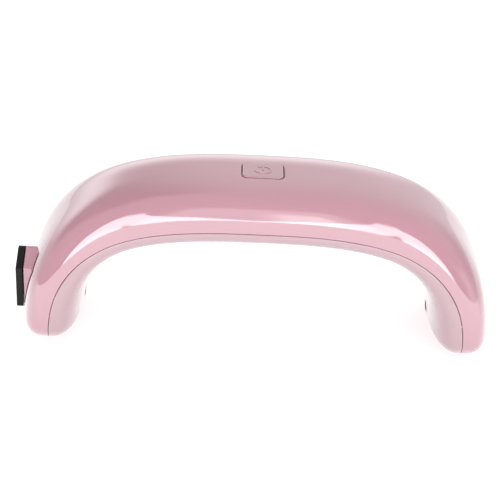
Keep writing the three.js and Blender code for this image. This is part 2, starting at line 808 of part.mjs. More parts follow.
// A wire's end over the top of the control board
const overControl = (x, y, lift) =>
  new THREE.Vector3(x, y, controlTop + fitGap + wireRadius + lift).applyMatrix4(crownFrame);

// The inlet's pair runs up the left leg and over the left LED unit to the control board
function inletWires() {
  const padHeight = portHeight + inletBoardHeight / 4;
  const start = inletBoardBack + fitGap;
  return [['red', -1, wireRed], ['black', 1, wireBlack]].map(([colour, side, finish]) => wire(
    `inlet_wire_${colour}`,
    [
      new THREE.Vector3(start, side * inletPadSide, padHeight),
      new THREE.Vector3(start + wireBend, side * inletPadSide, padHeight + wireBend / 2),
      ...inletWireShares.map((share) => onArch(share, wireLift, side * inletWireSide)),
      overControl(-controlLength / 2, side * inletWireSide, wireBend / 3),
      overControl(-controlLength / 2 + padInset, side * inletWireSide, 0),
    ],
    longWireSteps,
    finish,
  ));
}

// Each side unit's pair runs from the top of its board to the near end of the control board
function sideWires(where, sign) {
  const share = ledUnits[where];
  const archShare = (fromTip) => (sign < 0 ? fromTip : 1 - fromTip);
  const overPad = (side, height) =>
    new THREE.Vector3(-sign * ledPadPlace, side * ledPadSide, ledBoardTop + fitGap + height)
      .applyMatrix4(unitFrame(share));
  return [['red', -1, wireRed], ['black', 1, wireBlack]].map(([colour, side, finish]) => wire(
    `led_wire_${where}_${colour}`,
    [
      overPad(side, 0),
      overPad(side, wireBend),
      ...sideWireShares.map((fromTip) => onArch(archShare(fromTip), wireLift, side * sideWireSide)),
      overControl(sign * (controlLength / 2), side * sideWireSide, wireBend / 3),
      overControl(sign * (controlLength / 2 - padInset), side * sideWireSide, 0),
    ],
    longWireSteps,
    finish,
  ));
}

// The centre unit's pair loops round the front edge of the control board
function centreWires() {
  const low = ledBoardTop - crownInnerBulge + fitGap;
  const high = controlTop + fitGap;
  const edge = -controlDepth / 2;
  return [['red', -1, wireRed], ['black', 1, wireBlack]].map(([colour, side, finish]) => wire(
    `led_wire_centre_${colour}`,
    [
      [edge - wireBend, low],
      [edge - 1.2 * wireBend, low + wireBend],
      [edge - wireBend, high + wireBend / 2],
      [edge, high + 1.2 * wireBend],
      [edge + wireBend, high],
    ].map(([across, lift]) => onArch(0.5, lift, across).setX(side * centrePadSide)),
    shortWireSteps,
    finish,
  ));
}

const lamp = new THREE.Group();
lamp.position.x = portReach / 2;
lamp.add(
  piece('outer_shell', outerShell(), glossPink),
  piece('inner_panel', innerPanel(), glossPink),
  controlUnit(),
  ...Object.entries(ledUnits).map(([where, share]) => ledUnit(where, share)),
  ...panelScrews(),
  ...inletUnit(),
  ...inletWires(),
  ...sideWires('left', -1),
  ...sideWires('right', 1),
  ...centreWires(),
);

const nailLamp = new THREE.Group();
nailLamp.add(lamp);
export default nailLamp;
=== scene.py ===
"""Mini nail lamp: an arch of two glossy moulded halves, modelled around its packed frame."""
import json
import math

import bmesh
import bpy
import numpy as np
from bpy.props import FloatProperty, FloatVectorProperty, IntProperty, PointerProperty, StringProperty
from mathutils import Matrix, Vector


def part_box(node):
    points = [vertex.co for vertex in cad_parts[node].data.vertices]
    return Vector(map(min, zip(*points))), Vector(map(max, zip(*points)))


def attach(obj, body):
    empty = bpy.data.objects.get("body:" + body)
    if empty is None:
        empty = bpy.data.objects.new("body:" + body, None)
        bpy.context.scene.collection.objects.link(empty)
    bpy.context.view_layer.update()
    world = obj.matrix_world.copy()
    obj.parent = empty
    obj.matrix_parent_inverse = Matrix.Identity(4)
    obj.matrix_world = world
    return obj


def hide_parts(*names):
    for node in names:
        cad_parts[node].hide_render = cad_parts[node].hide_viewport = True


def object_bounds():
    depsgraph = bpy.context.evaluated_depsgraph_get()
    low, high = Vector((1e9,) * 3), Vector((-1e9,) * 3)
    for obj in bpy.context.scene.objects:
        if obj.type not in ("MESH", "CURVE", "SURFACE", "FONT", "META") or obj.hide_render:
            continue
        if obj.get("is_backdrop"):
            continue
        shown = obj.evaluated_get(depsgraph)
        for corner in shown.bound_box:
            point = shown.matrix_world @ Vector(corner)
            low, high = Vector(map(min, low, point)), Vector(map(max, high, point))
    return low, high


bl_info = {
    "name": "Mini nail lamp",
    "version": (1, 0, 0),
    "blender": (4, 5, 0),
    "location": "3D View > Sidebar > Nail lamp",
    "description": "Builds the arch, button, inlet, windows and studio of a mini nail lamp",
    "category": "Object",
}

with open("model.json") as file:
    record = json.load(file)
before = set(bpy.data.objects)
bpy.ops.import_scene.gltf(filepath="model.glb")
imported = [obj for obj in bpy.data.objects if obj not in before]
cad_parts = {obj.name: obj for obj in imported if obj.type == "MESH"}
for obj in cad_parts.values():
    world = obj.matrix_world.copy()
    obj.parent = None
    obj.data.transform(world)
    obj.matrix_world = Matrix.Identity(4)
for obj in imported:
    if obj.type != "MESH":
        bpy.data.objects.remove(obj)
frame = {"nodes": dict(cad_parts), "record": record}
FRAME_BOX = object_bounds()
MM = 0.001
QUARTER = math.pi / 2
WELD = 1e-6
# points in the rounding at the seam, and where the section goes on, in radii of that rounding
ROUND_POINTS = 4
AFTER_ROUND = 1.8


def mm(name, default, description):
    """A length property, from millimetres."""
    return FloatProperty(name=name, description=description, default=default * MM, min=0, unit="LENGTH")


def share(name, default, description):
    """A property without a unit, between 0 and 2."""
    return FloatProperty(name=name, description=description, default=default, min=0, max=2)


def turn(name, default, description):
    """An angle property, from degrees."""
    return FloatProperty(name=name, description=description, default=math.radians(default), subtype="ANGLE")


def hex_colour(name, default, description):
    """A colour property that holds an sRGB hex value."""
    return StringProperty(name=name, description=description, default=default)


class NAILLAMP_PG_arch(bpy.types.PropertyGroup):
    """The line on which the two halves meet, and the section of the casing along it."""

    half_width: mm("Half width", 68, "From the middle to a leg's parting line")
    rise: mm("Rise", 42.6, "From the foot of the curve to the crown's parting line")
    foot: mm("Foot", 1.6, "Height of a leg's straight foot")
    land_cut: mm("Land cut", 0.4, "What the flat lands take off the tips")
    roundness: share("Roundness", 0.698, "1 is an ellipse and 0 a rectangle")
    crown_depth: mm("Crown depth", 44.2, "Front to back")
    leg_depth: mm("Leg depth", 52, "Front to back")
    crown_bulge: mm("Crown bulge", 12.6, "Of the outer half")
    leg_bulge: mm("Leg bulge", 9.6, "Of the outer half")
    crown_inner: mm("Inner crown bulge", 6.8, "Of the inner half")
    leg_inner: mm("Inner leg bulge", 9.7, "Of the inner half")
    outer_roundness: share("Outer roundness", 0.564, "Of the outer half's section")
    inner_roundness: share("Inner roundness", 0.75, "Of the inner half's section")
    flare_start: share("Flare start", 0.149, "Of half the arch, from the tip")
    flare_end: share("Flare end", 0.553, "Of half the arch, from the tip")
    tip_depth: mm("Tip round in depth", 11.7, "Length of the round seen from the side")
    tip_bulge: mm("Tip round in bulge", 8.8, "Length of the round seen from the front")
    tip_depth_roundness: share("Tip roundness in depth", 0.762, "Seen from the side")
    tip_bulge_roundness: share("Tip roundness in bulge", 1.09, "Seen from the front")
    wall: mm("Wall", 2, "Thickness of both mouldings")
    seam_gap: mm("Seam gap", 0.1, "Between the two halves")
    seam_round: mm("Seam round", 0.22, "Of the edges at the seam")
    fit_gap: mm("Fit gap", 0.3, "Between pieces that fit together")
    section_points: IntProperty(name="Section points", description="Over one half of a section", default=88)
    side_rings: IntProperty(name="Side rings", description="Between the crown and a tip", default=84)
    tip_rings: IntProperty(name="Tip rings", description="In the round of a tip", default=24)


class NAILLAMP_PG_button(bpy.types.PropertyGroup):
    """The push button on the crown."""

    size_x: mm("Length", 13.4, "Along the arch")
    size_y: mm("Depth", 11.4, "Front to back")
    corner: mm("Corner", 1.8, "Radius of its corners")
    proud: mm("Proud", 0.35, "What stands out of the crown")
    skin: mm("Skin", 1.2, "Thickness of its cap")
    rim_round: mm("Rim round", 0.35, "Of the edge of its cap")
    flange_width: mm("Flange width", 1.3, "Of the flange under the casing")
    flange_height: mm("Flange height", 1, "Of that flange")
    stem_radius: mm("Stem radius", 1.5, "Of the stem on the switch")
    stem_length: mm("Stem length", 0.9, "Under the flange")
    sign_radius: mm("Sign radius", 2.9, "Of the ring of the on-off sign")
    sign_line: mm("Sign line", 0.6, "Width of its line")
    sign_height: mm("Sign height", 0.25, "What stands out of the cap")
    sign_bar: mm("Sign bar", 3.2, "Length of its bar")


class NAILLAMP_PG_inlet(bpy.types.PropertyGroup):
    """The charging inlet on the left leg."""

    height: mm("Height", 16.6, "Of the middle of the receptacle")
    plate: mm("Plate thickness", 2.3, "Of the six-sided plate")
    plate_round: mm("Plate round", 0.2, "Of the plate's edges")
    boss_round: mm("Boss round", 0.25, "Of the boss's edges")
    top_half: mm("Top half width", 0.6, "Of the plate's blunt top")
    side_half: mm("Side half width", 8.4, "Of the plate at its widest")
    bottom_half: mm("Bottom half width", 6.9, "Of the plate's bottom edge")
    top: mm("Top height", 25.3, "Of the plate's top")
    side: mm("Side height", 21.2, "Of the plate's widest place")
    bottom: mm("Bottom height", 6.2, "Of the plate's bottom edge")
    peg_radius: mm("Peg radius", 1, "Of the pegs that hold the plate")
    peg_length: mm("Peg length", 1.8, "Behind the plate")
    peg_spacing: mm("Peg spacing", 8, "Between the two upper pegs")
    peg_high: mm("Upper peg height", 20.9, "Of the two upper pegs")
    peg_low: mm("Lower peg height", 10.6, "Of the single lower peg")
    slot_corner: mm("Slot corner", 0.6, "Radius in the openings for the receptacle")
    receptacle_width: mm("Receptacle width", 7.5, "Front to back")
    receptacle_height: mm("Receptacle height", 2.6, "Of the metal shell")
    receptacle_length: mm("Receptacle length", 6.4, "Into the leg")
    receptacle_wall: mm("Receptacle wall", 0.4, "Thickness of the metal shell")
    receptacle_sink: mm("Receptacle sink", 1.2, "From the plate's face to the shell")
    receptacle_slope: mm("Receptacle slope", 0.9, "Cut off its lower corners")
    receptacle_corner: mm("Receptacle corner", 0.35, "Cut off its upper corners")


class NAILLAMP_PG_light(bpy.types.PropertyGroup):
    """The three LED units and the screws of the panel."""

    side_share: share("Side unit share", 0.19, "Of the arch's length, from either tip")
    window: mm("Window radius", 7.2, "Of the openings in the panel")
    lens_radius: mm("Lens radius", 8.2, "Of the clear discs")
    lens_thickness: mm("Lens thickness", 1.3, "At the rim of the disc")
    lens_edge: mm("Lens edge", 0.25, "Bevel of the disc's rim")
    lens_sink: mm("Lens sink", 0.25, "From the panel's face to the rim")
    lens_dome: mm("Lens dome", 0.25, "Rise of the disc's middle")
    ledge: mm("Ledge", 1.4, "Thickness of the ledge behind the lens")
    collar: mm("Collar radius", 10, "Round the window")
    reflector_height: mm("Reflector height", 3, "From its flange to its throat")
    reflector_rim: mm("Reflector rim", 0.8, "Thickness of its flange")
    reflector_flange: mm("Reflector flange", 1.4, "Width of its flange")
    throat: mm("Throat radius", 3.6, "Where the LED looks in")
    reflector_wall: mm("Reflector wall", 1, "Thickness at the throat")
    led: mm("LED width", 4.4, "Of its ceramic base")
    led_base: mm("LED base", 0.9, "Height of its ceramic base")
    led_corner: mm("LED corner", 0.3, "Radius of the base's corners")
    led_round: mm("LED round", 0.12, "Of the base's edges")
    led_dome: mm("LED dome radius", 1.7, "Of the cast dome")
    led_skirt: mm("LED skirt", 0.1, "What the dome sinks into the base")
    board_hole: mm("Board screw hole", 1.2, "Radius of the holes for the board screws")
    board_depth: mm("Board depth", 29, "Of the LED boards, front to back")
    board_hole_inset: mm("Board hole inset", 2.5, "From the end of the board")
    screw_low: share("Lower screw share", 0.05, "Of the arch's length, from either tip")
    screw_high: share("Upper screw share", 0.335, "Of the arch's length, from either tip")
    screw_post: mm("Screw post radius", 3.5, "Of the posts in the panel")
    screw_boss: mm("Screw boss radius", 2.8, "Of the bosses in the outer shell")
    screw_seat: mm("Screw seat", 2.6, "From the parting line to the head's seat")
    screw_radius: mm("Screw radius", 1.2, "Of the shank")
    screw_pitch: mm("Screw pitch", 0.8, "From thread to thread")
    screw_head: mm("Screw head radius", 2.4, "Of the head")
    screw_head_height: mm("Screw head height", 1.6, "Of the head")
    screw_head_rim: mm("Screw head rim", 0.5, "Straight part of the head's side")
    screw_grip: mm("Screw grip", 5.2, "What the shank reaches into the boss")
    screw_tip: mm("Screw tip", 0.9, "Length of its point")
    recess: mm("Recess width", 0.7, "Of the cross in the head")
    recess_depth: mm("Recess depth", 0.7, "Of the cross in the head")


class NAILLAMP_PG_finish(bpy.types.PropertyGroup):
    """Colours, as sRGB hex values."""

    shell: hex_colour("Shell", "#c48696", "Gloss pink of the outer half")
    shell_deep: hex_colour("Shell, deep", "#c08292", "Where its pigment lies denser")
    panel: hex_colour("Panel", "#b98b97", "Gloss pink of the inner half")
    panel_deep: hex_colour("Panel, deep", "#b58793", "Where its pigment lies denser")
    button: hex_colour("Button", "#be8895", "Gloss pink of the button")
    button_deep: hex_colour("Button, deep", "#ba8491", "Where its pigment lies denser")
    black: hex_colour("Black", "#111113", "Satin black of the inlet plate")
    floor: hex_colour("Floor", "#ecebea", "Pale floor and backdrop")


class NAILLAMP_PG_camera(bpy.types.PropertyGroup):
    """Where the camera stands, as in the photograph."""

    target: FloatVectorProperty(
        name="Target", description="What the camera looks at", size=3, default=(0.0015, 0, 0.02263),
        subtype="TRANSLATION", unit="LENGTH", precision=5)
    distance: mm("Distance", 536.64, "From the target to the camera")
    elevation: turn("Elevation", 27.294, "Above the horizon")
    yaw: turn("Yaw", -1.446, "Round the object, from its front")
    roll: turn("Roll", 3.139, "Tilt of the horizon")
    lens: FloatProperty(name="Lens", description="Focal length in millimetres", default=114.49)
    shift_x: FloatProperty(name="Shift X", description="Of the frame, in widths", default=-0.0159)
    shift_y: FloatProperty(name="Shift Y", description="Of the frame, in widths", default=0.027)


# The arch's parting line

def rounded_unit(angle, roundness):
    """A point of the unit superellipse in the direction of an angle."""
    power = 2 / roundness
    across, up = math.cos(angle), math.sin(angle)
    size = (abs(across) ** power + abs(up) ** power) ** (-1 / power)
    return size * across, size * up


def tip_cap(from_tip, reach, roundness):
    """The rounding of a tip: 0 at the tip and 1 from the end of the round on."""
    power = 2 / roundness
    left = 1 - min(max(from_tip / reach, 0), 1)
    return max(1 - left ** power, 0) ** (1 / power)


class Arch:
    """Places and sections along the parting line, from the left tip over the crown to the right tip."""

    FOOT_SHARE = 0.02
    STEPS = 2000
    TANGENT_STEP = 1e-4

    def __init__(self, sizes):
        self.sizes = sizes
        points = np.array([self.point(step / self.STEPS) for step in range(self.STEPS + 1)])
        self.table = np.concatenate([[0], np.cumsum(np.hypot(*np.diff(points, axis=0).T))])
        self.length = float(self.table[-1])

    def point(self, part):
        sizes = self.sizes
        along = (part - self.FOOT_SHARE) / (1 - 2 * self.FOOT_SHARE)
        if along <= 0 or along >= 1:
            near_tip = min(part, 1 - part) / self.FOOT_SHARE
            side = -1 if along <= 0 else 1
            return side * sizes.half_width, (sizes.foot + sizes.land_cut) * near_tip - sizes.land_cut
        across, up = rounded_unit(math.pi * (1 - along), sizes.roundness)
        return sizes.half_width * across, sizes.foot + sizes.rise * up

    def frame(self, from_tip, lift=0.0):
        """X runs along the line and Z out of the arch."""
        part = float(np.interp(from_tip, self.table, np.linspace(0, 1, self.STEPS + 1)))
        x0, z0 = self.point(max(part - self.TANGENT_STEP, 0))
        x1, z1 = self.point(min(part + self.TANGENT_STEP, 1))
        along = Vector((x1 - x0, 0, z1 - z0)).normalized()
        out = Vector((-along.z, 0, along.x))
        x, z = self.point(part)
        place_at = Vector((x, 0, z)) + lift * out
        return Matrix((
            (along.x, 0, out.x, place_at.x),
            (0, 1, 0, 0),
            (along.z, 0, out.z, place_at.z),
            (0, 0, 0, 1),
        ))

    def section(self, from_tip, inset=0.0):
        """Half depth, outer bulge and inner bulge."""
        sizes = self.sizes
        near = min(from_tip, self.length - from_tip)
        flare = (2 * near / self.length - sizes.flare_start) / (sizes.flare_end - sizes.flare_start)
        flare = min(max(flare, 0), 1)
        flare = flare * flare * (3 - 2 * flare)
        depth_cap = tip_cap(near - inset, sizes.tip_depth - inset, sizes.tip_depth_roundness)
        bulge_cap = tip_cap(near - inset, sizes.tip_bulge - inset, sizes.tip_bulge_roundness)

        def between(leg, crown):
            return leg + (crown - leg) * flare

        return (
            (between(sizes.leg_depth, sizes.crown_depth) / 2 - inset) * depth_cap,
            (between(sizes.leg_bulge, sizes.crown_bulge) - inset) * bulge_cap,
            (between(sizes.leg_inner, sizes.crown_inner) - inset) * bulge_cap,
        )


# Modelling helpers

def deselect():
    if bpy.context.object and bpy.context.object.mode != "OBJECT":
        bpy.ops.object.mode_set(mode="OBJECT")
    bpy.ops.object.select_all(action="DESELECT")


def only(piece):
    """Makes a piece the only one selected and the active one."""
    deselect()
    piece.select_set(True)
    bpy.context.view_layer.objects.active = piece


def remove(piece):
    only(piece)
    bpy.ops.object.delete()


def named(piece, name):
    piece.name = piece.data.name = name
    return piece


def edit(piece, mode="VERT"):
    only(piece)
    bpy.ops.object.mode_set(mode="EDIT")
    bpy.ops.mesh.select_mode(type=mode)


def done(piece):
    bpy.ops.object.mode_set(mode="OBJECT")
    return piece


def started(name):
    """Names the primitive that was just added, and puts its place into its mesh."""
    bpy.ops.object.transform_apply(location=True, rotation=True, scale=True)
    return named(bpy.context.object, name)


def pick(piece, kind, test):
    """Selects the vertices, edges or faces of the piece in edit mode that pass a test."""
    bpy.ops.mesh.select_all(action="DESELECT")
    mesh = bmesh.from_edit_mesh(piece.data)
    found = [part for part in getattr(mesh, kind) if test(part)]
    for part in found:
        part.select_set(True)
    mesh.select_flush_mode()
    bmesh.update_edit_mesh(piece.data)
    return len(found)


def pick_end(piece, side):
    """Goes into edit mode with the level faces selected that look up (1) or down (-1)."""
    edit(piece, "FACE")
    pick(piece, "faces", lambda face: side * face.normal.z > 0.9)


def level(height):
    """A test for edges that lie at a height."""
    return lambda edge: all(abs(vert.co.z - height) < WELD for vert in edge.verts)


def extrude(rise, *ratios):
    """Extrudes what is selected along Z, and scales it about the Z axis by ratios for X and Y."""
    bpy.ops.mesh.extrude_region_move(TRANSFORM_OT_translate={"value": (0, 0, rise)})
    if ratios:
        bpy.ops.transform.resize(value=(*ratios, 1), center_override=(0, 0, 0))


def weld(hole_sides=0):
    """Merges doubles in the piece in edit mode, closes small holes and turns all faces outwards."""
    bpy.ops.mesh.select_all(action="SELECT")
    bpy.ops.mesh.remove_doubles(threshold=WELD)
    if hole_sides:
        bpy.ops.mesh.fill_holes(sides=hole_sides)
        bpy.ops.mesh.select_all(action="SELECT")
    bpy.ops.mesh.normals_make_consistent(inside=False)


def apply_modifier(piece, kind, **settings):
    only(piece)
    modifier = piece.modifiers.new(kind.title(), kind)
    for key, value in settings.items():
        setattr(modifier, key, value)
    bpy.ops.object.modifier_apply(modifier=modifier.name)


def join(name, pieces):
    """Joins pieces into one object."""
    deselect()
    for piece in pieces:
        piece.select_set(True)
    bpy.context.view_layer.objects.active = pieces[0]
    bpy.ops.object.join()
    return named(pieces[0], name)


def combine(piece, tool, operation, crossing=False):
    """Joins, cuts or intersects a piece with a tool, and removes the tool. Crossing: its parts overlap."""
    apply_modifier(piece, "BOOLEAN", operation=operation, object=tool, solver="EXACT", use_self=crossing)
    if not piece.data.polygons:
        raise RuntimeError(f"{piece.name}: {operation} with {tool.name} left nothing")
    remove(tool)
    return piece


def place(piece, matrix):
    """Puts a finished piece at its place, in its mesh."""
    only(piece)
    piece.matrix_world = matrix
    bpy.ops.object.transform_apply(location=True, rotation=True, scale=True)
    return piece


def copied(piece, name):
    only(piece)
    bpy.ops.object.duplicate()
    return named(bpy.context.object, name)


def smooth(piece, degrees=35, weighted=True):
    """Shades a piece smooth between its sharp edges."""
    only(piece)
    bpy.ops.object.shade_smooth_by_angle(angle=math.radians(degrees))
    if weighted:
        apply_modifier(piece, "WEIGHTED_NORMAL", keep_sharp=True, weight=50, mode="FACE_AREA")
    return piece


def round_edges(piece, radius, test=None, sharper=50, segments=3):
    """Rounds the sharp edges of a piece, or those that pass a test."""
    edit(piece, "EDGE")
    limit = math.radians(sharper)

    def sharp(edge):
        folded = len(edge.link_faces) == 2 and edge.calc_face_angle(0) > limit
        return folded and (test is None or test(edge))

    if not pick(piece, "edges", sharp):
        raise RuntimeError(f"{piece.name}: no edge to round")
    bpy.ops.mesh.bevel(
        offset=radius, offset_type="OFFSET", segments=segments, affect="EDGES", clamp_overlap=True)
    return done(piece)


def box(name, low, high):
    """A block from its lowest to its highest corner."""
    deselect()
    low, high = Vector(low), Vector(high)
    bpy.ops.mesh.primitive_cube_add(size=1, location=(low + high) / 2, scale=high - low)
    return started(name)


def rounded_block(name, size_x, size_y, low, high, corner, segments=6):
    """A block about the Z axis with rounded upright edges."""
    block = box(name, (-size_x / 2, -size_y / 2, low), (size_x / 2, size_y / 2, high))
    edit(block, "EDGE")
    pick(block, "edges", lambda edge: abs(edge.verts[0].co.z - edge.verts[1].co.z) > (high - low) / 2)
    bpy.ops.mesh.bevel(offset=corner, offset_type="OFFSET", segments=segments, affect="EDGES")
    return done(block)


def rod(name, radius, low, high, steps=32):
    deselect()
    bpy.ops.mesh.primitive_cylinder_add(
        vertices=steps, radius=radius, depth=high - low, location=(0, 0, (low + high) / 2))
    return started(name)


def rods(name, places):
    """Several rods as one object, each from (matrix, radius, low, high)."""
    return join(name, [place(rod(name, radius, low, high), matrix) for matrix, radius, low, high in places])


def turned(name, profile, steps=64, closed=False):
    """Turns [radius, height] points about Z: a circle that is extruded from point to point."""
    deselect()
    points = [point for point in profile if point[0] > 0]
    radius, height = points[0]
    bpy.ops.mesh.primitive_circle_add(vertices=steps, radius=radius, location=(0, 0, height))
    piece = started(name)
    edit(piece)
    bpy.ops.mesh.select_all(action="SELECT")
    if profile[0][0] == 0:
        extrude(profile[0][1] - height)
        bpy.ops.mesh.merge(type="CENTER")
        pick(piece, "verts", lambda vert: vert.co.xy.length > radius / 2)
    for next_radius, next_height in points[1:] + (points[:1] if closed else []):
        extrude(next_height - height, next_radius / radius, next_radius / radius)
        radius, height = next_radius, next_height
    if profile[-1][0] == 0:
        extrude(profile[-1][1] - height)
        bpy.ops.mesh.merge(type="CENTER")
    weld()
    return done(piece)


def prism(name, corners, low, high):
    """A straight prism over corners in the XY plane: a circle whose points are moved to the corners."""
    deselect()
    bpy.ops.mesh.primitive_circle_add(
        vertices=len(corners), radius=1, fill_type="NGON", location=(0, 0, low))
    piece = started(name)
    edit(piece)
    for index, (x, y) in enumerate(corners):
        mesh = bmesh.from_edit_mesh(piece.data)
        mesh.verts.ensure_lookup_table()
        at = mesh.verts[index].co.copy()
        pick(piece, "verts", lambda vert: vert.index == index)
        bpy.ops.transform.translate(value=(x - at.x, y - at.y, 0))
    bpy.ops.mesh.select_all(action="SELECT")
    extrude(high - low)
    weld()
    return done(piece)


def quarter_section(count, edge_round, half_depth, bulge, roundness):
    """Points from the seam to the top of a section, as shares of its half depth and its bulge."""
    round_points = ROUND_POINTS if edge_round else 0
    start = math.atan2(edge_round / bulge * AFTER_ROUND, 1)
    for index in range(count + 1):
        if index < round_points:
            part = QUARTER * index / (ROUND_POINTS - 1)
            yield (1 - edge_round / half_depth * (1 - math.sin(part)),
                   edge_round / bulge * (1 - math.cos(part)))
        else:
            along = (index - round_points) / (count - round_points)
            yield rounded_unit(start + (QUARTER - start) * along, roundness)


def lofted_half(name, arch, outer, inset=0.0, seam=0.0, edge_round=0.0, density=1.0):
    """One open half of the casing: a half ring at the crown, extruded ring by ring to a tip and mirrored."""
    sizes = arch.sizes
    count = round(sizes.section_points * density / 2)
    side_rings, tip_rings = round(sizes.side_rings * density), round(sizes.tip_rings * density)
    side, roundness = (1, sizes.outer_roundness) if outer else (-1, sizes.inner_roundness)
    near = 1e-5

    def measured(from_tip):
        half_depth, out_bulge, in_bulge = arch.section(from_tip, inset)
        return half_depth, (out_bulge if outer else in_bulge) - seam * min(1, out_bulge / sizes.leg_bulge)

    middle, tip = arch.length / 2, sizes.tip_depth
    places = [middle + (tip - middle) * step / side_rings for step in range(1, side_rings + 1)]
    places += [inset + (tip - inset) * (1 - math.cos(QUARTER * (1 - step / tip_rings)))
               for step in range(1, tip_rings)]
    half_depth, bulge = measured(middle)
    deselect()
    bpy.ops.mesh.primitive_circle_add(vertices=4 * count, radius=1, rotation=(0, QUARTER, 0))
    piece = started(name)
    edit(piece)
    pick(piece, "verts", lambda vert: side * vert.co.z < -10 * near)
    bpy.ops.mesh.delete(type="VERT")
    targets = quarter_section(count, edge_round, half_depth, bulge, roundness)
    for index, (across, up) in enumerate(targets):
        y, z = math.cos(QUARTER * index / count), math.sin(QUARTER * index / count)
        pick(piece, "verts", lambda vert: abs(abs(vert.co.y) - y) < near and abs(abs(vert.co.z) - z) < near)
        scale_y = across / y if index < count else 1
        scale_z = up / z if index else 1
        bpy.ops.transform.resize(value=(1, scale_y, scale_z), center_override=(0, 0, 0))
    bpy.ops.mesh.select_all(action="SELECT")
    bpy.ops.transform.resize(value=(1, half_depth, bulge), center_override=(0, 0, 0))
    centre = arch.frame(middle, side * seam).translation
    bpy.ops.transform.translate(value=centre)
    turned_by = 0.0
    for from_tip in places:
        next_depth, next_bulge = measured(from_tip)
        at = arch.frame(from_tip, side * seam)
        next_turn = math.atan2(-at[0][2], at[2][2])
        bpy.ops.mesh.extrude_region_move()
        if turned_by:
            bpy.ops.transform.rotate(value=-turned_by, orient_axis="Y", center_override=centre)
        bpy.ops.transform.resize(
            value=(1, next_depth / half_depth, next_bulge / bulge), center_override=centre)
        bpy.ops.transform.translate(value=at.translation - centre)
        centre = at.translation
        bpy.ops.transform.rotate(value=next_turn, orient_axis="Y", center_override=centre)
        half_depth, bulge, turned_by = next_depth, next_bulge, next_turn
    bpy.ops.mesh.extrude_region_move()
    bpy.ops.mesh.merge(type="CENTER")
    done(piece)
    apply_modifier(piece, "MIRROR", use_clip=True, merge_threshold=WELD)
    edit(piece)
    weld()
    faces = bmesh.from_edit_mesh(piece.data).faces
    crown = min(faces, key=lambda face: sum(abs(value) for value in face.calc_center_median().xy))
    if crown.normal.z * side < 0:
        bpy.ops.mesh.flip_normals()
    return done(piece)


def casing_body(name, arch, inset, density=0.5):
    """The whole casing as one closed body, drawn in by an inset."""
    body = join(name, [lofted_half(name, arch, outer, inset, density=density) for outer in (True, False)])
    edit(body)
    weld(hole_sides=8)
    return done(body)


def half_shell(name, arch, outer):
    """One half of the casing with its wall: an outer and an inner skin that are bridged along the seam."""
    sizes = arch.sizes
    seam = sizes.seam_gap / 2
    skin = lofted_half(name, arch, outer, 0, seam, sizes.seam_round)
    lining = lofted_half(f"{name}_lining", arch, outer, sizes.wall, seam)
    edit(lining, "FACE")
    bpy.ops.mesh.select_all(action="SELECT")
    bpy.ops.mesh.flip_normals()
    done(lining)
    shell = join(name, [skin, lining])
    edit(shell, "EDGE")
    pick(shell, "edges", lambda edge: len(edge.link_faces) == 1)
    bpy.ops.mesh.bridge_edge_loops()
    bpy.ops.mesh.select_all(action="SELECT")
    bpy.ops.mesh.bisect(
        plane_co=(0, 0, 0), plane_no=(0, 0, 1), use_fill=True, clear_inner=True, threshold=WELD)
    return done(shell)


def to_inlet(height=0.0, side=0.0):
    """A frame of the inlet: its Z points into the left leg, its X to the back and its Y up."""
    return Matrix(((0, 0, 1, 0), (1, 0, 0, side), (0, 1, 0, height), (0, 0, 0, 1)))


